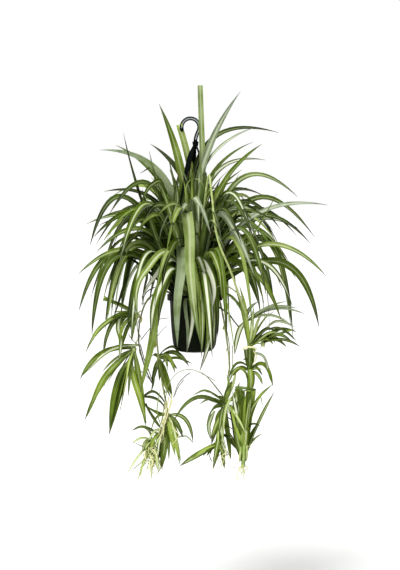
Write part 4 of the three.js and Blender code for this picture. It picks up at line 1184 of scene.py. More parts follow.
@dataclass
class Soil:
    """The potting mix: a bed with a crumbly top, loose crumbs and perlite on it."""

    axis_x: float = 10.0
    edge_z: float = -452.0
    crown: float = 5.0
    radius: float = 59.0
    waves: int = 18
    wave_lengths: Pair = (5, 26)
    wave_height: float = 0.022
    clearance: float = 2.4
    crumbs: int = 230
    crumb_sizes: Pair = (1.2, 3.6)
    perlite: int = 60
    perlite_sizes: Pair = (1.0, 2.2)
    seed: int = 71

    def height(self, x: np.ndarray, y: np.ndarray) -> np.ndarray:
        """The top: a low dome plus sine waves of drawn lengths that run in drawn directions."""
        draw = np.random.default_rng(self.seed)
        away = ((x - self.axis_x) ** 2 + y**2) / self.radius**2
        z = self.edge_z + self.crown * (1 - away)
        for _ in range(self.waves):
            heading, wave = draw.uniform(0, TURN), draw.uniform(*self.wave_lengths)
            along = (x * math.cos(heading) + y * math.sin(heading)) / wave
            z = z + self.wave_height * wave * np.sin(along * 2 * math.pi + draw.uniform(0, TURN))
        return z

    def build(self) -> list[bpy.types.Object]:
        """Makes the bed, then scatters crumbs and perlite over its top."""
        bed, loose, chalk = Batch(), Batch(), Batch()
        inside = np.array(Pot().side(self.clearance))
        wall = np.vstack([[(1.0, inside[0, 1] - 0.4)], inside])
        rings = np.linspace(self.radius - 1.2, 1.0, 44)
        angle = turns(96)
        radius = np.concatenate([wall[:, 0], rings])[:, None]
        x, y = self.axis_x + radius * np.cos(angle), radius * np.sin(angle)
        z = np.broadcast_to(wall[:, 1:], (len(wall), len(angle)))
        z = np.concatenate([z, self.height(x[len(wall):], y[len(wall):])])
        bed.tube(meshed(x, y, z), meshed(angle[None] / TURN, radius * MM))
        draw = np.random.default_rng(self.seed + 1)
        for batch, count, sizes in ((loose, self.crumbs, self.crumb_sizes),
                                    (chalk, self.perlite, self.perlite_sizes)):
            for _ in range(count):
                self.grain(batch, draw, draw.uniform(*sizes))
        return [dressed(bed.piece("soil_bed", PEAT), PEAT, "soil"),
                dressed(loose.piece("soil_crumbs", PEAT), PEAT),
                dressed(chalk.piece("perlite", CHALK), CHALK)]

    def grain(self, batch: Batch, draw: Random, size: float) -> None:
        """One crumb: four rings of six points on a squashed ball, each point moved at random."""
        away, heading = (self.radius - 5) * math.sqrt(draw.uniform()), draw.uniform(0, TURN)
        x, y = self.axis_x + away * math.cos(heading), away * math.sin(heading)
        t = np.array([0.12, 0.38, 0.64, 0.9])[:, None] * math.pi
        angle = turns(6)[None] + draw.uniform(0, 1)
        shape = meshed(np.sin(t) * np.cos(angle), np.sin(t) * np.sin(angle), -np.cos(t))
        shape = shape * draw.uniform(0.75, 1.15, (4, 6, 1)) * draw.uniform(0.6, 1.0, 3) * size
        z = float(self.height(np.array(x), np.array(y)))
        batch.tube(shape + (x, y, z + size * 0.3), np.zeros((4, 6, 2)))


# ---- hanger
@dataclass
class Hanger:
    """One moulding: the open hook with a channel down its faces, the neck and three straps."""

    inner: float = 17.0
    band: float = 9.5
    depth: float = 7.0
    open_angle: float = 208.0
    arm_angle: float = -22.0
    sway: float = 2.3
    arm_bend: float = 22.0
    arm_top: float = 11.0
    arm_foot: float = 4.0
    neck: Point = (12.5, 0.0, -58.0)
    channel: Pair = (3.8, 1.3)
    strap_line: Sequence[Pair] = ((13, -85), (25, -124), (44, -205), (60, -310))
    strap_width: float = 13.0
    strap_thickness: float = 2.2
    hook_end: float = 4.5
    strap_end: float = 6.0
    pot: Pot = field(default_factory=Pot)

    def hook_line(self) -> Line:
        """The band's middle: an arc about (0, -inner), then a curve into the straight arm."""
        radius, (x, _, z) = self.inner + self.band / 2, self.neck
        angle = np.radians(np.linspace(self.open_angle, self.arm_angle, 120))
        arc = np.stack([radius * np.cos(angle), radius * np.sin(angle) - self.inner], axis=1)
        arm = bent(tuple(arc[-1]), (x + self.sway, z + self.arm_bend), (x, z + self.arm_top), 40)
        flat = np.vstack([arc, arm[1:], [(x, z - self.arm_foot)]])
        return Line(np.stack([flat[:, 0], np.zeros(len(flat)), flat[:, 1]], axis=1))

    def hook(self, batch: Batch) -> None:
        """Sweeps the band's section, whose two faces sink into a channel along the middle.

        The section is 7 mm deep and 9.5 mm wide with rounded edges. Its channel fades in near
        the free end and out near the neck, and the free end is closed as a half round.
        """
        line = self.hook_line()
        half, side = self.depth / 2, self.band / 2
        wide, deep = self.channel[0] / 2, self.channel[1]

        def section(sunk: float) -> np.ndarray:
            """The band's outline as points by (depth, breadth), its channel sunk so far."""
            face = [(half, -wide), (half - sunk, -wide + 0.5), (half - sunk, wide - 0.5), (half, wide)]
            other = [(-y, -x) for y, x in face]
            return rounded([(-half, -side), (half, -side), *face, (half, side), (-half, side), *other], 1.3)

        t = np.concatenate([np.linspace(0.0, 0.05, 12), np.linspace(0.06, 1.0, 90)])
        sunk = smoothstep(0.045, 0.09, t) * (1 - smoothstep(0.86, 0.92, t))
        ring = section(0.0)[None] * (1 - sunk)[:, None, None] + section(deep)[None] * sunk[:, None, None]
        end = np.clip(1 - t * line.length / self.hook_end, 0.0, 1.0)
        close = np.sqrt(np.clip(1 - end**2, 0.05, 1.0))
        scale = np.stack([0.5 + 0.5 * close, close], axis=1)
        floor = np.abs(ring[:, :, 0]) < half - deep * 0.5
        floor &= np.abs(ring[:, :, 1]) < wide
        swept(batch, line, ring, t, scale, np.array([0.0, 1.0, 0.0]), dust=floor * sunk[:, None])

    def strap(self, batch: Batch, azimuth: float) -> None:
        """Sweeps one strap and its lug.

        The section is a flat bar whose outer face has two channels beside a middle rib. Its path
        leaves the neck, where it is half as wide again, bows out and laps down over the rim.
        """
        pot = self.pot
        face = pot.rim_radius + 0.3 + self.strap_thickness / 2
        out = level(azimuth)
        stops = [*self.strap_line, (face, pot.rim_top + 12.0), (face, pot.rim_top - 15.0)]
        places = [tuple(np.array([pot.axis_x, 0.0, z]) + out * r) for r, z in stops]
        line = Line.through([tuple(np.array(self.neck) + out), *places])
        w, h = self.strap_width / 2, self.strap_thickness / 2
        low = h - 0.6
        ring = rounded([(-w, -h), (w, -h), (w, h), (w - 1.5, h), (w - 1.9, low), (1.5, low), (1.1, h),
                        (-1.1, h), (-1.5, low), (1.9 - w, low), (1.5 - w, h), (-w, h)], 0.5)
        t = np.concatenate([np.linspace(0.0, 0.96, 70), np.linspace(0.966, 1.0, 12)])
        end = np.clip(1 - (1 - t) * line.length / self.strap_end, 0.0, 1.0)
        flare = 0.45 * smoothstep(0.02, 0.12, t) * (1 - smoothstep(0.18, 0.34, t))
        width = (0.7 + 0.3 * smoothstep(0.0, 0.08, t) + flare) * np.sqrt(np.clip(1 - end**2, 0.08, 1.0))
        across = np.array([out[1], -out[0], 0.0])
        swept(batch, line, ring, t, np.stack([width, np.ones(len(t))], axis=1), across, dust=0.0)
        foot = np.array([pot.axis_x, 0.0, pot.rim_top - pot.rim_height / 2])
        lug = Line(np.array([foot + out * (face - 5.5), foot + out * face]))
        box = rounded([(-3, -2), (3, -2), (3, 2), (-3, 2)], 0.7)
        sizes = np.array([[0.8, 0.8], [1, 1], [1, 1]])
        swept(batch, lug, box, np.array([0.0, 0.12, 1.0]), sizes, across, dust=0.0)

    def barrel(self, batch: Batch) -> None:
        """The boss that the straps leave: 16 mm across at its top, 13 mm below, edges rounded."""
        x, y, z = self.neck
        profile = rounded([(0.6, -6), (6.5, -6), (8, 6), (0.6, 6)], 1.2, 5)[2:-3]
        rows = Line(np.array([(r, 0.0, z + h) for r, h in profile]))
        rings = rows.at(np.linspace(0, 1, 26))
        angle = turns(40)
        grid = meshed(x + rings[:, :1] * np.cos(angle), y + rings[:, :1] * np.sin(angle), rings[:, 2:])
        batch.tube(grid, np.zeros((*grid.shape[:2], 2)), dust=0.0)

    def build(self) -> bpy.types.Object:
        """Makes the hook, the neck and the straps as one piece."""
        batch = Batch()
        self.hook(batch)
        self.barrel(batch)
        for azimuth in STRAP_AZIMUTHS:
            self.strap(batch, azimuth)
        piece = batch.piece("hanger_moulding", HANGER)
        crisp(piece)
        return dressed(piece, HANGER, "hanger")


# ---- the plant
# The leaves that shape the outline: breadth, roll, and the points that the midrib passes after
# its root, the last one its tip.
FRONT: list[Leaf] = [
    Leaf(14.5, 44, ((28, -30, -255), (30, -30, -109), (24, -22, 84)), PLAIN, cut=True),
    Leaf(17, -66, ((-4, 14, -100), (-28, -4, -11)), BRIGHT, cut=True),
    Leaf(21, 98, ((58, -44, -40), (121, -72, 64)), SHEENED),
    Leaf(19, 60, ((92, -62, -52), (154, -100, -24)), SHEENED),
    Leaf(20, 60, ((121, -84, -104), (171, -118, -64)), MATURE),
    Leaf(18, 30, ((158, -112, -270), (206, -130, -181))),
    Leaf(17, 59, ((205, -108, -212), (326, -150, -209)), SHEENED),
    Leaf(18, 49, ((225, -130, -306), (321, -170, -376)), MATURE),
    Leaf(21, 49, ((240, -112, -356), (309, -130, -501))),
    Leaf(17, 44, ((188, -150, -352), (241, -176, -446))),
    Leaf(17, 30, ((125, -165, -265), (178, -210, -420))),
    Leaf(18, 30, ((150, -152, -368), (214, -190, -478))),
    Leaf(17, 36, ((62, -100, -234), (113, -156, -283), (153, -196, -378)), SHEENED),
    Leaf(16, 16, ((42, -120, -321), (67, -180, -356), (75, -214, -428)), MATURE),
    Leaf(26, 4, ((-8, -120, -229), (-1, -162, -271), (1, -196, -360), (11, -228, -449), (25, -240, -529)),
         PLAIN),
    Leaf(25, -10, ((-18, -104, -307), (-20, -140, -358), (-30, -160, -442), (-30, -164, -544)), SILVER),
    Leaf(20, -10, ((-16, -96, -330), (-26, -128, -400), (-34, -146, -470), (-30, -146, -550)), DARK),
    Leaf(16, -28, ((-38, -96, -372), (-62, -118, -408), (-72, -128, -450), (-76, -128, -498)), MATURE),
    Leaf(15, 30, ((56, -84, -352), (68, -96, -392), (70, -98, -424), (64, -92, -462)), DARK),
    Leaf(17, 14, ((16, -100, -355), (39, -132, -416), (54, -138, -494)), MATURE),
    Leaf(17, 12, ((21, -96, -339), (47, -132, -368), (58, -148, -415), (49, -152, -467)), WHITE),
    Leaf(16, 0, ((30, -130, -368), (40, -206, -419), (52, -262, -557)), STRIPED),
    Leaf(17, 8, ((25, -104, -413), (44, -126, -484), (42, -128, -546), (23, -122, -609)), STRIPED),
    Leaf(15, -10, ((-1, -92, -400), (6, -116, -480), (-8, -118, -566)), WHITE),
    Leaf(22, -25, ((-35, -100, -360), (-68, -136, -396), (-87, -156, -450), (-93, -160, -520)), STRIPED),
    Leaf(18, -25, ((-23, -110, -297), (-53, -158, -333), (-67, -180, -407)), DARK),
    Leaf(14, -30, ((-1, -118, -217), (-25, -160, -229), (-55, -184, -254)), SHEENED),
    Leaf(17, 25, ((4, -112, -203), (30, -152, -222), (50, -182, -280)), SHEENED),
    Leaf(19, -36, ((-50, -96, -320), (-106, -150, -365), (-126, -180, -412), (-123, -186, -478)), MATURE),
    Leaf(16, -40, ((-40, -92, -340), (-92, -124, -390), (-116, -138, -430)), WHITE),
    Leaf(10, -20, ((-40, -86, -240), (-66, -118, -262), (-74, -136, -301)), DARK),
    Leaf(10, -40, ((-94, -60, -358), (-106, -84, -390), (-113, -90, -419), (-118, -88, -449)), DARK),
    Leaf(9, -40, ((-80, -60, -368), (-89, -84, -395), (-96, -88, -424), (-98, -86, -449)), DARK),
    Leaf(20, -129, ((-21, -62, -282), (-35, -76, -200), (-28, -66, -129)), DARK),
    Leaf(16, -125, ((-35, -70, -274), (-57, -80, -200), (-74, -72, -154)), MATURE),
    Leaf(14, None, ((-24, -80, -258), (-12, -88, -184), (-4, -84, -128)), DARK),
    Leaf(12, None, ((-40, -72, -262), (-30, -86, -196), (-36, -84, -152)), MATURE),
    Leaf(11, None, ((-4, -84, -258), (-9, -94, -190), (-17, -92, -142)), BRIGHT),
    Leaf(12, None, ((8, -86, -246), (4, -96, -176), (9, -92, -122)), MATURE),
    Leaf(12, -165, ((6, -92, -232), (4, -98, -149)), BRIGHT),
    Leaf(12, -175, ((18, -92, -239), (21, -98, -162)), PALE),
    Leaf(6, 0, ((-8, -100, -208), (-6, -116, -157), (13, -124, -146), (28, -126, -155), (35, -126, -176)),
         LIME),
    Leaf(17, 18, ((16, -112, -333), (37, -130, -378), (51, -130, -435), (56, -122, -508)), STRIPED),
    Leaf(14, 10, ((6, -120, -345), (16, -138, -392), (25, -138, -463)), MATURE),
    Leaf(14, 10, ((30, -112, -400), (44, -128, -480), (40, -126, -566)), BRIGHT),
    Leaf(12, 10, ((34, -108, -380), (54, -122, -450), (58, -118, -548)), PALE),
    Leaf(13, 0, ((24, -110, -400), (30, -134, -480), (27, -132, -575)), MATURE),
    Leaf(12, 10, ((18, -118, -393), (25, -126, -460), (25, -118, -537)), LIME),
    Leaf(12, 20, ((32, -112, -417), (47, -116, -485), (49, -108, -548)), STRIPED),
    Leaf(9, 0, ((-11, -114, -437), (-6, -120, -508), (-8, -112, -567)), SILVER),
    Leaf(14, -10, ((-23, -118, -345), (-32, -124, -424), (-37, -112, -524)), DARK),
    Leaf(15, 30, ((38, -96, -336), (59, -112, -401), (66, -108, -466), (67, -96, -530)), MATURE),
    Leaf(15, 20, ((30, -104, -346), (42, -118, -412), (42, -112, -490)), DARK),
]
RIGHT: list[Leaf] = [
    Leaf(16, 59, ((112, 24, -18), (221, 40, -28))),
    Leaf(11, 54, ((88, 60, -92), (159, 96, -49))),
    Leaf(18, 59, ((132, 40, -94), (189, 56, -96))),
    Leaf(18, 59, ((190, 28, -136), (268, 30, -188))),
    Leaf(18, 54, ((196, 60, -190), (319, 84, -294))),
    Leaf(17, 49, ((185, 96, -243), (281, 136, -271))),
    Leaf(16, 54, ((205, 4, -236), (299, -10, -306))),
    Leaf(18, 49, ((170, -2, -292), (262, -14, -392))),
    Leaf(18, 44, ((140, 24, -330), (214, 36, -470))),
    Leaf(17, 40, ((122, 10, -350), (176, 12, -486))),
    Leaf(17, 40, ((160, 60, -316), (236, 84, -430))),
    Leaf(17, 44, ((150, 0, -262), (246, -18, -352))),
    Leaf(17, 44, ((110, 110, -170), (200, 190, -190))),
    Leaf(17, 25, ((120, 130, -280), (190, 210, -400))),
    Leaf(17, 25, ((62, 160, -240), (84, 256, -350))),
]
LEFT: list[Leaf] = [
    # Two near-black blades: painted shade for leaves in shadow.
    Leaf(10, -50, ((-150, -40, -340), (-176, -62, -384), (-204, -72, -462)), PAINTED_SHADE),
    Leaf(10, -50, ((-132, -50, -338), (-156, -72, -390), (-190, -84, -494)), PAINTED_SHADE),
    Leaf(24, -92, ((-36, -4, -72), (-77, -12, 39)), MATURE),
    Leaf(20, -62, ((-62, 26, -86), (-101, 40, -56))),
    Leaf(22, -58, ((-41, -14, -151), (-56, -18, -86)), BRIGHT),
    Leaf(21, -56, ((-164, 16, -78), (-226, 22, -72)), SILVER),
    Leaf(17, -54, ((-132, 50, -92), (-190, 72, -58))),
    Leaf(18, -50, ((-58, 24, -170), (-90, 28, -116), (-127, 32, -130))),
    Leaf(15, -54, ((-128, -56, -168), (-162, -64, -34))),
    Leaf(11, -50, ((-90, 66, -140), (-106, 84, -72))),
    Leaf(15, -59, ((-148, -28, -172), (-211, -42, -176)), DARK),
    Leaf(15, -54, ((-140, 66, -160), (-200, 96, -186))),
    Leaf(18, -59, ((-138, -70, -160), (-194, -98, -230)), DARK),
    Leaf(20, -54, ((-196, -44, -198), (-246, -50, -309)), DARK),
    Leaf(18, -54, ((-160, -88, -230), (-231, -122, -286)), DARK),
    Leaf(17, -54, ((-150, 16, -236), (-219, 24, -300))),
    Leaf(17, -54, ((-144, -104, -266), (-221, -152, -320))),
    Leaf(18, -54, ((-172, -56, -318), (-271, -84, -376)), MATURE),
    Leaf(17, -30, ((-112, -98, -206), (-170, -148, -356))),
    Leaf(18, -44, ((-156, -16, -246), (-218, -20, -378))),
    Leaf(18, -54, ((-186, -2, -326), (-279, -6, -474)), DARK),
    Leaf(20, -44, ((-176, -116, -330), (-234, -148, -519)), DARK),
    Leaf(15, -44, ((-158, 48, -326), (-224, 66, -456))),
    Leaf(15, -44, ((-150, 84, -340), (-209, 116, -494))),
    Leaf(17, -30, ((-120, 14, -352), (-170, 20, -462))),
    Leaf(18, -40, ((-136, -60, -310), (-190, -96, -456))),
    Leaf(18, -40, ((-130, -84, -280), (-196, -128, -402))),
    Leaf(17, -44, ((-120, 60, -330), (-176, 88, -476))),
    Leaf(22, -30, ((-98, -86, -346), (-150, -128, -500))),
    Leaf(22, -34, ((-52, -34, -390), (-80, -52, -462), (-96, -62, -550), (-124, -62, -670)), BRIGHT),
    Leaf(17, -30, ((-80, 130, -200), (-150, 220, -260))),
    Leaf(17, -30, ((-90, 110, -290), (-150, 190, -430))),
    Leaf(20, -54, ((-63, -46, -173), (-87, -66, -156), (-108, -80, -179), (-120, -86, -215)), MATURE),
    Leaf(16, -90, ((-68, -52, -324), (-89, -70, -269), (-106, -76, -210), (-116, -74, -171)), DARK),
    Leaf(18, -60, ((-50, -50, -233), (-74, -70, -208), (-98, -86, -225), (-120, -94, -273)), DARK),
]

CROWNS: tuple[Crown, ...] = (
    Crown("crown_front", 285.0, FRONT, fill=10, seed=11, sector=(246, 318), more=34, wide=(236, 330)),
    Crown("crown_right", 45.0, RIGHT, fill=20, seed=23, sector=(-4, 96), more=50, wide=(-36, 100)),
    Crown("crown_left", 165.0, LEFT, fill=18, seed=37, sector=(114, 205), more=54, wide=(110, 240)),
)

# What grows on the runners besides their plantlets: each blade's first point is its root.
LEFT_MORE: tuple[Leaf, ...] = (
    Leaf(11, -62, ((-132, -30, -476), (-169, -44, -477), (-202, -56, -493), (-231, -62, -520),
         (-254, -60, -564)), MATURE),
    Leaf(12, -58, ((-132, -30, -476), (-171, -44, -480), (-193, -52, -501), (-207, -58, -535),
         (-215, -56, -572)), DARK),
    Leaf(13, -60, ((-132, -30, -476), (-169, -46, -482), (-178, -52, -511), (-171, -56, -542),
         (-176, -52, -595)), STRIPED),
    Leaf(10, -60, ((-132, -30, -483), (-152, -42, -505), (-163, -50, -533), (-173, -50, -570)), DARK),
    Leaf(10, -50, ((-135, -30, -476), (-171, -48, -457), (-212, -60, -434)), MATURE, cut=True),
    Leaf(13, -58, ((-133, -28, -556), (-176, -42, -559), (-217, -56, -577), (-266, -62, -628)), STRIPED),
    Leaf(15, -52, ((-140, -30, -565), (-183, -46, -600), (-219, -58, -643), (-256, -60, -731)), MATURE),
    Leaf(15, -45, ((-150, -32, -592), (-171, -48, -620), (-190, -58, -682), (-200, -60, -770)), DARK),
    Leaf(14, 30, ((-155, -32, -597), (-163, -50, -627), (-173, -54, -671), (-183, -50, -723)), BRIGHT),
    Leaf(15, 45, ((-147, -32, -597), (-139, -48, -640), (-124, -54, -688), (-109, -50, -750)), MATURE),
    Leaf(9, 0, ((-140, -34, -562), (-151, -50, -595), (-158, -54, -634), (-168, -50, -684)), LIME),
)
LOWER_LEFT_MORE: tuple[Leaf, ...] = (
    Leaf(12, -60, ((-81, -8, -766), (-96, -18, -736), (-113, -20, -704)), DARK, cut=True),
    Leaf(8, -60, ((-81, -8, -766), (-83, -16, -729), (-81, -18, -699), (-73, -14, -660)), BRIGHT),
    Leaf(9, -40, ((-64, 0, -717), (-74, -10, -690), (-96, -18, -674), (-128, -20, -694)), DARK),
    Leaf(9, -40, ((-86, -10, -780), (-103, -20, -768), (-125, -26, -762), (-147, -26, -772)), DARK),
    Leaf(6, -30, ((-106, -14, -819), (-115, -22, -813), (-130, -26, -807), (-147, -26, -797)), SHEENED),
    Leaf(8, -50, ((-79, -8, -766), (-88, -20, -773), (-98, -24, -785), (-108, -22, -800)), LIME),
    Leaf(9, -50, ((-79, -8, -771), (-86, -20, -786), (-95, -24, -802), (-103, -20, -831)), BRIGHT),
    Leaf(8, -40, ((-76, -8, -776), (-81, -20, -793), (-88, -22, -808), (-101, -20, -811)), LIME),
    Leaf(7, 0, ((-74, -10, -770), (-78, -26, -802), (-83, -28, -836), (-91, -24, -867)), WHITE),
    Leaf(6, 0, ((-76, -8, -781), (-83, -24, -832), (-81, -26, -844), (-76, -26, -857), (-71, -24, -869)),
         LIME),
    Leaf(19, 12, ((-64, -6, -776), (-66, -20, -798), (-68, -22, -828), (-73, -18, -868)), DARK),
    Leaf(12, -30, ((-76, -6, -786), (-78, -14, -807), (-81, -16, -831), (-83, -12, -860)), DARK),
    Leaf(11, 40, ((-54, -2, -737), (-51, -16, -769), (-46, -22, -798), (-38, -20, -838)), BRIGHT),
    Leaf(9, 48, ((-54, -2, -734), (-43, -18, -769), (-33, -24, -807), (-24, -22, -852)), LIME),
    Leaf(9, 48, ((-49, 0, -747), (-36, -12, -755), (-26, -18, -769), (-19, -18, -789)), DARK),
    Leaf(8, 48, ((-49, 0, -752), (-41, -12, -765), (-34, -16, -779), (-29, -16, -794)), MATURE),
    Leaf(7, 30, ((-54, -2, -747), (-46, -12, -785), (-29, -20, -788), (-9, -24, -787), (11, -22, -808)),
         SHEENED),
    Leaf(10, 10, ((-86, -6, -821), (-88, -14, -839), (-93, -16, -854), (-96, -14, -872)), MATURE),
    Leaf(9, 20, ((-93, -10, -795), (-91, -20, -818), (-96, -20, -840), (-103, -16, -859)), BRIGHT),
    Leaf(7, -30, ((-101, -10, -800), (-111, -20, -818), (-108, -20, -838), (-98, -16, -846)), LIME),
    Leaf(6, 30, ((-93, -12, -797), (-105, -24, -807), (-113, -22, -825), (-106, -16, -844)), LIME),
    Leaf(6, -30, ((-91, -12, -802), (-100, -24, -822), (-93, -22, -838), (-83, -16, -834)), WHITE),
    Leaf(6, -30, ((-96, -8, -806), (-108, -14, -839), (-118, -18, -858), (-123, -18, -873),
         (-126, -14, -894)), BRIGHT),
    Leaf(5, -30, ((-96, -8, -806), (-113, -16, -844), (-128, -18, -858), (-140, -18, -868),
         (-156, -14, -882)), SHEENED),
    Leaf(6, 10, ((-74, -4, -786), (-68, -14, -839), (-73, -18, -863), (-81, -16, -879), (-88, -12, -890)),
         BRIGHT),
    Leaf(9, 40, ((-82, 10, -588), (-61, -8, -568), (-41, -18, -562), (-24, -20, -584)), DARK),
    Leaf(11, 40, ((-82, 10, -591), (-64, -6, -583), (-49, -14, -597), (-34, -16, -619)), MATURE),
    Leaf(9, 40, ((-84, 8, -613), (-61, -10, -595), (-31, -22, -589), (4, -26, -603)), DARK),
    Leaf(8, -30, ((-84, 8, -608), (-91, -4, -631), (-94, -8, -656), (-99, -6, -678)), DARK),
    Leaf(10, 20, ((-84, 8, -590), (-76, -4, -621), (-64, -8, -658), (-49, -4, -694)), BRIGHT),
    Leaf(9, -20, ((-81, 8, -588), (-74, -6, -611), (-69, -10, -635), (-66, -8, -661)), MATURE),
)
RIGHT_MORE: tuple[Leaf, ...] = (
    Leaf(10, None, ((141, -104, -554), (134, -112, -500), (122, -112, -444), (107, -104, -399)), MATURE),
    Leaf(9, None, ((144, -106, -553), (138, -116, -499), (131, -118, -448), (119, -110, -403)), BRIGHT),
    Leaf(9, None, ((146, -106, -551), (148, -112, -514), (150, -112, -485), (153, -110, -454)), LIME),
    Leaf(8, None, ((148, -104, -551), (155, -108, -519), (163, -108, -490), (175, -106, -466)), LIME),
    Leaf(8, 40, ((149, -100, -549), (163, -102, -510), (182, -104, -481), (204, -106, -464)), BRIGHT),
    Leaf(13, -50, ((129, -112, -490), (119, -122, -508), (111, -124, -537), (107, -122, -568)), STRIPED),
    Leaf(11, -30, ((76, -110, -410), (90, -118, -451), (100, -120, -508), (107, -118, -559)), PALE),
    Leaf(8, 20, ((56, -116, -410), (80, -122, -400), (104, -122, -412), (131, -114, -437)), PALE),
    Leaf(10, 30, ((158, -104, -563), (175, -108, -572), (187, -108, -599), (194, -106, -633)), SHEENED),
    Leaf(15, 48, ((146, -102, -549), (165, -106, -524), (184, -110, -507), (203, -114, -509)), DARK),
    Leaf(14, 40, ((148, -106, -551), (172, -112, -528), (191, -116, -516), (215, -116, -514)), MATURE),
    Leaf(12, 30, ((158, -108, -546), (177, -114, -531), (191, -116, -533), (201, -114, -545)), BRIGHT),
    Leaf(9, 30, ((182, -108, -510), (211, -112, -504), (235, -114, -516), (256, -112, -536)), DARK),
    Leaf(10, 35, ((182, -106, -507), (204, -108, -490), (225, -110, -490), (252, -110, -502)), SHEENED),
    Leaf(8, 35, ((196, -110, -524), (215, -112, -519), (235, -112, -512), (254, -112, -509)), BRIGHT),
    Leaf(8, -40, ((139, -104, -602), (124, -110, -589), (107, -112, -596), (93, -110, -628)), DARK),
    Leaf(8, -40, ((136, -104, -612), (122, -112, -601), (107, -114, -608), (93, -112, -639)), MATURE),
    Leaf(9, -50, ((139, -104, -641), (134, -112, -613), (119, -114, -603), (105, -112, -620)), BRIGHT),
    Leaf(7, 40, ((144, -104, -597), (158, -108, -599), (168, -108, -609), (175, -106, -621)), DARK),
    Leaf(10, 5, ((126, -124, -655), (137, -131, -654), (147, -131, -654), (157, -120, -658)), BRIGHT),
    Leaf(9, None, ((127, -98, -816), (124, -116, -750), (114, -122, -688), (109, -120, -653)), LIME),
    Leaf(8, None, ((127, -98, -816), (129, -118, -749), (131, -124, -695), (136, -122, -657)), BRIGHT),
    Leaf(8, None, ((126, -110, -775), (119, -122, -736), (109, -126, -695), (102, -122, -657)), WHITE),
    Leaf(8, None, ((129, -98, -816), (136, -116, -754), (143, -122, -700), (148, -120, -667)), LIME),
    Leaf(9, None, ((127, -104, -800), (121, -124, -736), (123, -128, -687), (128, -126, -666)), DARK),
    Leaf(8, None, ((124, -104, -796), (114, -120, -737), (112, -122, -700), (119, -124, -666)), DARK),
    Leaf(7, None, ((127, -102, -806), (112, -116, -750), (102, -120, -713), (100, -118, -687)), BRIGHT),
    Leaf(12, None, ((132, -100, -800), (137, -108, -740), (140, -114, -668)), BRIGHT, cut=True),
    Leaf(13, None, ((145, -96, -674), (146, -108, -650), (145, -112, -606)), YOUNG, cut=True),
    Leaf(10, None, ((149, -96, -668), (151, -104, -640), (151, -108, -612)), MATURE, cut=True),
    Leaf(7, None, ((90, -84, -698), (103, -120, -704), (121, -130, -732), (135, -128, -762)), LIME),
    Leaf(7, None, ((112, -104, -690), (98, -118, -676), (84, -118, -712), (76, -108, -800)), LIME),
    Leaf(9, None, ((129, -106, -790), (135, -124, -736), (140, -126, -695), (145, -124, -671)), MATURE),
    Leaf(12, 58, ((132, -102, -777), (148, -110, -715), (167, -112, -673), (199, -110, -642)), BRIGHT),
    Leaf(8, 55, ((134, -104, -757), (148, -112, -707), (160, -114, -685), (172, -112, -671)), LIME),
    Leaf(7, 10, ((170, -110, -669), (172, -112, -676), (174, -112, -685), (179, -110, -698)), BRIGHT),
    Leaf(8, 40, ((136, -104, -762), (143, -110, -744), (155, -112, -738), (170, -110, -744)), DARK),
    Leaf(12, None, ((127, -94, -832), (117, -104, -788), (110, -108, -739), (103, -106, -679)), MATURE),
    Leaf(12, None, ((130, -94, -832), (134, -104, -776), (141, -106, -727), (151, -104, -684)), BRIGHT),
)
LOWER_RIGHT_MORE: tuple[Leaf, ...] = (
    Leaf(11, 62, ((84, -62, -699), (96, -72, -670), (106, -74, -643), (113, -72, -614)), LIME),
    Leaf(11, -60, ((82, -62, -696), (92, -70, -670), (94, -72, -646), (89, -70, -622)), BRIGHT),
    Leaf(9, -40, ((84, -62, -696), (62, -72, -675), (35, -78, -662), (6, -78, -674)), MATURE),
    Leaf(7, -40, ((82, -62, -701), (57, -72, -690), (33, -76, -682), (4, -76, -684)), DARK),
    Leaf(6, -40, ((82, -60, -687), (60, -66, -652), (40, -68, -629), (21, -68, -614)), SHEENED),
    Leaf(11, -50, ((92, -64, -708), (74, -76, -723), (65, -78, -742), (50, -76, -782)), MATURE),
    Leaf(11, -62, ((60, -66, -715), (50, -74, -733), (45, -76, -753), (50, -74, -785)), SHEENED),
    Leaf(12, 58, ((70, -68, -727), (74, -78, -752), (79, -78, -781), (89, -74, -814)), STRIPED),
    Leaf(10, 50, ((67, -66, -730), (69, -74, -763), (69, -74, -794), (82, -72, -824)), LIME),
    Leaf(8, 50, ((75, -66, -747), (79, -72, -778), (82, -72, -802), (92, -70, -827)), WHITE),
    Leaf(9, 50, ((82, -64, -774), (94, -70, -781), (104, -72, -795), (116, -70, -812)), DARK),
    Leaf(9, 40, ((94, -64, -701), (111, -76, -721), (121, -78, -745), (128, -76, -772)), LIME),
    Leaf(10, -40, ((87, -64, -696), (101, -72, -685), (113, -76, -665), (121, -74, -643)), BRIGHT),
    Leaf(8, 50, ((102, -64, -708), (111, -74, -733), (121, -78, -762), (128, -76, -792)), WHITE),
    Leaf(12, -20, ((87, -56, -813), (57, -70, -800), (35, -76, -809), (4, -76, -831)), BRIGHT),
    Leaf(10, -20, ((75, -58, -785), (57, -68, -801), (43, -72, -812), (31, -70, -827)), MATURE),
    Leaf(7, 10, ((45, -66, -821), (48, -68, -828), (50, -68, -835), (55, -66, -843)), SHEENED),
)
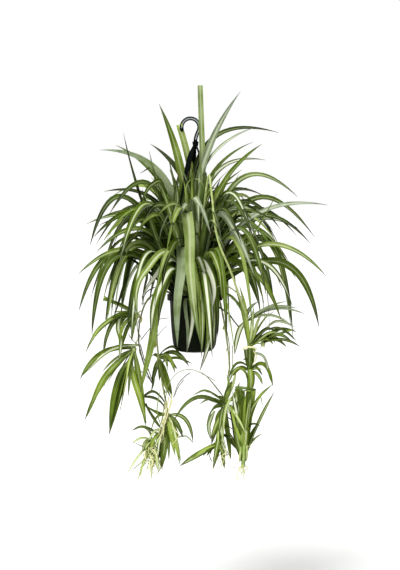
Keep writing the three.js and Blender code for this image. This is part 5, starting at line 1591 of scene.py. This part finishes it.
LEFT_STRANDS: tuple[Strand, ...] = (
    Strand(((-85, -60, -409), (-104, -62, -419), (-114, -60, -434), (-117, -54, -457)), (3.0, 2.4), 0.1,
           (0.9, 0.9)),
    Strand(((-127, -30, -491), (-132, -34, -513), (-125, -30, -541)), (2.2, 1.6), 0.1, (0.8, 0.8)),
    Strand(((-125, -30, -546), (-103, -30, -518), (-81, -26, -494), (-51, -20, -489)), (2.2, 1.4), 0.2,
           (0.7, 0.7)),
    Strand(((-154, -34, -528), (-142, -34, -545), (-130, -30, -555)), (2.2, 1.6), 0.1, (0.8, 0.8)),
    Strand(((-147, -30, -610), (-130, -28, -618), (-113, -22, -631), (-96, -10, -653)), (2.4, 1.8), 0.1,
           (0.85, 0.85)),
    Strand(((-125, -28, -553), (-113, -22, -601), (-101, -14, -632), (-94, -6, -661)), (2.6, 2.2), 0.1,
           (0.8, 0.8)),
)
LOWER_LEFT_STRANDS: tuple[Strand, ...] = (
    Strand(((-46, 2, -680), (-52, -2, -712), (-62, -6, -748), (-74, -10, -788)), (3.2, 2.6), 1.4,
           (0.0, 0.0)),
    Strand(((-55, 0, -690), (-60, -5, -722), (-67, -10, -752), (-78, -12, -800)), (2.8, 2.2), 1.2,
           (0.0, 0.1)),
    Strand(((-44, -2, -696), (-56, -7, -730), (-66, -12, -764), (-70, -16, -812)), (2.8, 2.0), 1.5,
           (0.0, 0.0)),
    Strand(((-62, -2, -700), (-64, -8, -734), (-76, -12, -770), (-84, -16, -836)), (2.6, 1.6), 1.3,
           (0.0, 0.1)),
    Strand(((-64, 2, -700), (-69, 0, -732), (-74, -4, -761)), (4.0, 3.4), 1.3, (0.1, 0.1)),
    Strand(((-88, -20, -544), (-76, -24, -526), (-61, -24, -511), (-56, -20, -507)), (1.8, 1.2), 0.2,
           (0.6, 0.6)),
    Strand(((1, -34, -624), (-14, -24, -636), (-31, -14, -657), (-44, -4, -694)), (2.4, 1.6), 0.1,
           (0.85, 0.85)),
    Strand(((63, -56, -643), (33, -44, -628), (1, -32, -617), (-31, -18, -627), (-54, -6, -656),
           (-64, 2, -700)), (2.0, 1.6), 0.5, (0.45, 0.45)),
    Strand(((-59, -2, -659), (-61, 0, -682), (-64, 2, -707)), (2.2, 1.8), 0.2, (0.7, 0.7)),
    Strand(((-16, -22, -643), (-31, -12, -665), (-41, -4, -691)), (2.2, 1.6), 0.1, (0.8, 0.8)),
    Strand(((-118, -12, -870), (-116, -14, -879), (-111, -12, -895)), (1.6, 1.0), 0.9, (0.3, 0.3)),
    Strand(((-96, -14, -874), (-98, -14, -884), (-101, -12, -897)), (1.5, 1.0), 0.9, (0.3, 0.3)),
)
RIGHT_STRANDS: tuple[Strand, ...] = (
    Strand(((127, -112, -558), (134, -122, -551), (150, -124, -550), (163, -114, -557)), (5.0, 4.0), 1.6,
           (0.0, 0.0)),
    Strand(((109, -108, -650), (122, -124, -648), (143, -128, -650), (160, -112, -656)), (7.0, 6.0), 0.0,
           (0.45, 0.6)),
    Strand(((152, -116, -558), (160, -112, -575), (150, -108, -598)), (3.5, 2.5), 1.2, (0.0, 0.1)),
    Strand(((64, -100, -452), (76, -108, -459), (93, -112, -471), (105, -112, -487), (119, -106, -505)),
           (4.4, 3.0), 0.1, (0.9, 0.9)),
    Strand(((71, -92, -446), (81, -96, -482), (93, -96, -535), (96, -92, -572), (94, -84, -619)),
           (2.6, 2.2), 0.2, (0.5, 0.5)),
    Strand(((102, -112, -545), (102, -110, -577), (103, -104, -617)), (2.2, 1.8), 0.3, (0.45, 0.45)),
    Strand(((98, -92, -711), (103, -90, -743), (108, -88, -779), (118, -88, -804)), (4.6, 3.2), 0.0,
           (1.0, 1.0)),
    Strand(((89, -86, -726), (101, -90, -733), (115, -94, -747)), (3.0, 2.2), 0.0, (0.95, 0.95)),
    Strand(((91, -86, -748), (103, -90, -755), (115, -94, -754)), (2.4, 1.8), 0.0, (0.95, 0.95)),
    Strand(((134, -96, -800), (146, -102, -798), (158, -106, -819), (163, -106, -848), (161, -104, -873)),
           (1.5, 1.0), 0.9, (0.3, 0.3)),
    Strand(((125, -94, -832), (110, -92, -842), (105, -92, -856)), (1.4, 1.0), 0.8, (0.4, 0.4)),
    Strand(((126, -98, -790), (122, -101, -816), (121, -98, -835)), (7.0, 6.0), 0.3, (0.0, 0.1)),
    Strand(((132, -98, -786), (131, -105, -816), (129, -101, -839)), (8.0, 7.0), 0.15, (0.0, 0.1)),
    Strand(((138, -98, -790), (138, -101, -816), (136, -98, -834)), (7.0, 6.0), 0.45, (0.0, 0.1)),
    Strand(((18, -26, -420), (30, -90, -250), (44, -140, -140), (52, -160, -190), (60, -172, -262),
           (72, -176, -308), (95, -178, -362), (112, -172, -410), (134, -130, -470), (136, -100, -500)),
           (4.8, 5.4), 0.35, (0.0, 0.1)),
)
LOWER_RIGHT_STRANDS: tuple[Strand, ...] = (
    Strand(((79, -66, -813), (79, -70, -837), (101, -74, -851), (121, -78, -862), (140, -80, -871)),
           (1.6, 1.0), 0.6, (0.5, 0.5)),
    Strand(((87, -66, -828), (99, -72, -819), (115, -84, -824)), (1.6, 1.2), 0.6, (0.5, 0.5)),
)

RUNNERS: tuple[Runner, ...] = (
    Runner(
        "runner_left", (5, 3), age=(0.5, 1.0), extra=LEFT_MORE, strands=LEFT_STRANDS,
        stem=((-36, -9, -447), (-46, -11, -431), (-57, -13, -425), (-76, -17, -424), (-102, -22, -439),
              (-120, -28, -474), (-129, -30, -539), (-116, -28, -604), (-96, -24, -654)),
        plantlets=(
            Plantlet((-131, -30, -482), branch=(-120, -28, -472), cut=1, leaves=(
                (12, 6, (-214, -60, -439)), (12, 32, (-256, -70, -569)), (11, 36, (-214, -14, -571)),
                (10, 24, (-174, -58, -551)), (13, 20, (-150, 50, -556)), (12, 20, (-140, 62, -520)),
            )),
            Plantlet((-140, -28, -566), branch=(-129, -30, -541), leaves=(
                (15, 32, (-271, -64, -636)), (15, 26, (-264, -34, -746)), (17, 12, (-201, -64, -776)),
                (14, 10, (-179, -6, -734)), (15, 10, (-111, -54, -756)), (15, 20, (-160, 60, -700)),
                (14, 24, (-222, 36, -676)),
            )),
        )),
    Runner(
        "runner_lower_left", (5, 4), extra=LOWER_LEFT_MORE, strands=LOWER_LEFT_STRANDS,
        stem=((-30, 23, -447), (-44, 31, -414), (-66, 40, -408), (-80, 42, -450), (-86, 34, -530),
              (-81, 15, -590), (-69, 8, -671), (-57, 4, -741), (-74, 0, -778), (-97, -8, -806)),
        plantlets=(
            Plantlet((-80, 14, -594), leaves=(
                (13, 24, (-4, -34, -608)), (11, 24, (-38, -46, -624)), (16, 6, (-47, 10, -691)),
                (12, 6, (-97, 6, -660)), (12, 24, (-60, 92, -640)), (12, 24, (-112, 70, -634)),
            )),
            Plantlet((-57, 4, -738), tangle=8, drop=90, leaves=(
                (14, -6, (-112, -30, -706)), (12, 22, (-125, -20, -689)), (18, 0, (-71, -30, -866)),
                (9, 8, (-26, -42, -856)), (12, 12, (-21, -30, -786)), (11, 30, (6, -22, -800)),
                (12, 24, (-40, 70, -820)), (12, 24, (-104, 62, -800)), (12, 10, (-56, 50, -866)),
            )),
            Plantlet((-96, -8, -802), growth=LIME, tangle=26, drop=84, leaves=(
                (9, 24, (-145, -24, -771)), (8, 12, (-146, -42, -803)), (7, 8, (-158, -30, -881)),
                (7, 6, (-131, -46, -893)), (8, 4, (-112, 14, -890)), (8, 0, (-98, -36, -893)),
                (8, 0, (-84, 12, -885)), (8, 10, (-80, -44, -872)),
            )),
        )),
    Runner(
        "runner_right", (5.5, 10.5), tone=0.05, extra=RIGHT_MORE, strands=RIGHT_STRANDS,
        stem=((50, -23, -447), (56, -29, -431), (64, -37, -425), (80, -53, -424), (104, -76, -434),
              (126, -94, -466), (137, -100, -510), (143, -100, -560), (144, -100, -611), (141, -98, -660),
              (136, -96, -760), (129, -94, -846)),
        plantlets=(
            Plantlet((134, -98, -494), growth=SHEENED, sprouts=2, leaves=(
                (9, 10, (231, -126, -439)), (10, 24, (276, -112, -471)), (9, 20, (262, -60, -462)),
                (9, 22, (241, -152, -494)), (12, 16, (96, -130, -430)), (12, 20, (118, -30, -440)),
            )),
            Plantlet((176, -104, -543), branch=(141, -100, -556), sprouts=2, leaves=(
                (10, 14, (264, -122, -549)), (11, 22, (260, -80, -519)), (10, 18, (240, -158, -530)),
                (10, 20, (238, -50, -560)), (10, 14, (232, -98, -552)),
            )),
            Plantlet((144, -100, -613), cut=4, leaves=(
                (13, 0, (135, -112, -556)), (13, 0, (144, -118, -551)), (13, 0, (153, -110, -554)),
                (13, 0, (146, -84, -558)), (14, 36, (200, -112, -646)), (9, 12, (174, -130, -640)),
                (11, 16, (104, -114, -622)), (12, 30, (150, -30, -640)),
            )),
            Plantlet((129, -94, -842), cut=6, tangle=5, drop=44, leaves=(
                (13, 0, (113, -106, -650)), (13, 0, (126, -122, -648)), (13, 0, (143, -122, -648)),
                (13, 0, (155, -106, -650)), (13, 0, (122, -80, -654)), (13, 0, (146, -78, -654)),
                (12, 16, (204, -116, -659)), (12, 22, (176, -112, -762)), (12, 6, (92, -100, -756)),
                (12, 20, (172, -62, -740)),
            )),
        )),
    Runner(
        "runner_lower_right", (4.5, 3.5), extra=LOWER_RIGHT_MORE, strands=LOWER_RIGHT_STRANDS,
        stem=((40, -36, -447), (45, -43, -431), (52, -52, -425), (61, -63, -427), (72, -72, -442),
              (80, -72, -480), (92, -64, -559), (96, -58, -621), (84, -54, -706), (77, -54, -798)),
        plantlets=(
            Plantlet((84, -54, -708), leaves=(
                (15, 42, (-41, -74, -739)), (12, 14, (36, -90, -664)), (11, 18, (22, -40, -704)),
                (14, 10, (52, -72, -798)), (13, 4, (56, -88, -852)), (13, 4, (100, -62, -838)),
                (12, 20, (98, -96, -640)), (12, 14, (104, -26, -646)), (12, 26, (40, 30, -770)),
                (12, 26, (110, 30, -760)), (12, 20, (70, -140, -760)),
            )),
            Plantlet((77, -54, -796), tangle=7, drop=70, leaves=(
                (20, 4, (-26, -70, -852)), (11, 4, (56, -60, -862)), (11, 2, (84, -72, -858)),
            )),
        )),
)


# ---- studio
@dataclass
class Studio:
    """A white room: the camera, a pale floor, soft light from the upper left and above."""

    aim: Point = (23.75, 0.0, -408.75)
    distance: float = 3000.0
    elevation: float = 4.0
    frame_height: float = 1425.0
    sensor: float = 36.0
    floor_z: float = -1250.0
    floor_radius: float = 60000.0
    sun_strength: float = 3.25
    sun_way: Point = (0.35, 0.55, -1.0)
    sun_spread: float = 30.0
    ambient: float = 0.42

    def build(self) -> None:
        """Sets the camera, the floor, the lamps and the world."""
        self.camera()
        self.floor()
        self.world()
        self.lamp("key", (-1500, -1900, 1300), 1300, 34.0)
        self.lamp("rim", (700, 2100, 900), 1600, 14.0)
        self.sun()
        bpy.context.scene.view_settings.view_transform = "Standard"

    def sun(self) -> None:
        """A broad white light from above, a little to the left and in front."""
        light = bpy.data.lights.new("sun", "SUN")
        light.energy = self.sun_strength
        light.angle = math.radians(self.sun_spread)
        self.placed(light, Vector(), Vector(self.sun_way))

    def camera(self) -> None:
        """A long lens, level with the plant's middle and looking slightly down."""
        lens = bpy.data.cameras.new("camera")
        lens.sensor_fit = "VERTICAL"
        lens.sensor_width = lens.sensor_height = self.sensor
        lens.lens = self.sensor * self.distance / self.frame_height
        lens.clip_end = 100.0
        tilt = math.radians(self.elevation)
        away = Vector((0.0, -math.cos(tilt), math.sin(tilt)))
        place = Vector(self.aim) + away * self.distance
        bpy.context.scene.camera = self.placed(lens, place, -away)

    def floor(self) -> None:
        """A wide disc below the plant."""
        batch = Batch()
        t = np.array([0.0002, 0.2, 1.0])[:, None]
        angle = turns(64)[None]
        top = meshed(self.floor_radius * t * np.cos(angle), self.floor_radius * t * np.sin(angle),
                     self.floor_z)
        grid = np.concatenate([top, top[::-1] - (0, 0, 20.0)])
        batch.tube(grid, np.zeros((*grid.shape[:2], 2)))
        piece = batch.piece("floor", FLOOR)
        crisp(piece)

    def world(self) -> None:
        """White where the camera looks past everything, and a gentler white as light."""
        world = bpy.data.worlds.new("white_room")
        bpy.context.scene.world = world
        world.use_nodes = True
        world.node_tree.nodes.clear()
        tree = Tree(world.node_tree)
        seen = tree.add("Background", Color="#ffffff", Strength=1.0)
        shed = tree.add("Background", Color="#ffffff", Strength=self.ambient)
        straight = tree.add("LightPath", "Is Camera Ray")
        tree.add("OutputWorld", Surface=tree.add("MixShader", _0=straight, _1=shed, _2=seen))

    def lamp(self, name: str, place: Point, size: float, power: float) -> None:
        """A square soft box at place, in millimetres, turned to the plant."""
        light = bpy.data.lights.new(name, "AREA")
        light.shape = "SQUARE"
        light.size = size * MM
        light.energy = power
        self.placed(light, Vector(place), Vector(self.aim) - Vector(place))

    def placed(self, data: bpy.types.ID, place: Vector, way: Vector) -> bpy.types.Object:
        """Puts a lamp or a camera at place, in millimetres, looking along way."""
        thing = bpy.data.objects.new(data.name, data)
        thing.location = place * MM
        thing.rotation_euler = way.to_track_quat("-Z", "Y").to_euler()
        bpy.context.scene.collection.objects.link(thing)
        return thing


def main() -> None:
    """Builds the plant and its studio."""
    logging.basicConfig(level=logging.INFO, format="%(message)s")
    Studio().build()
    Pot().build()
    Soil().build()
    Hanger().build()
    for crown in CROWNS:
        crown.build()
    for runner in RUNNERS:
        runner.build()


if __name__ == "__main__":
    main()
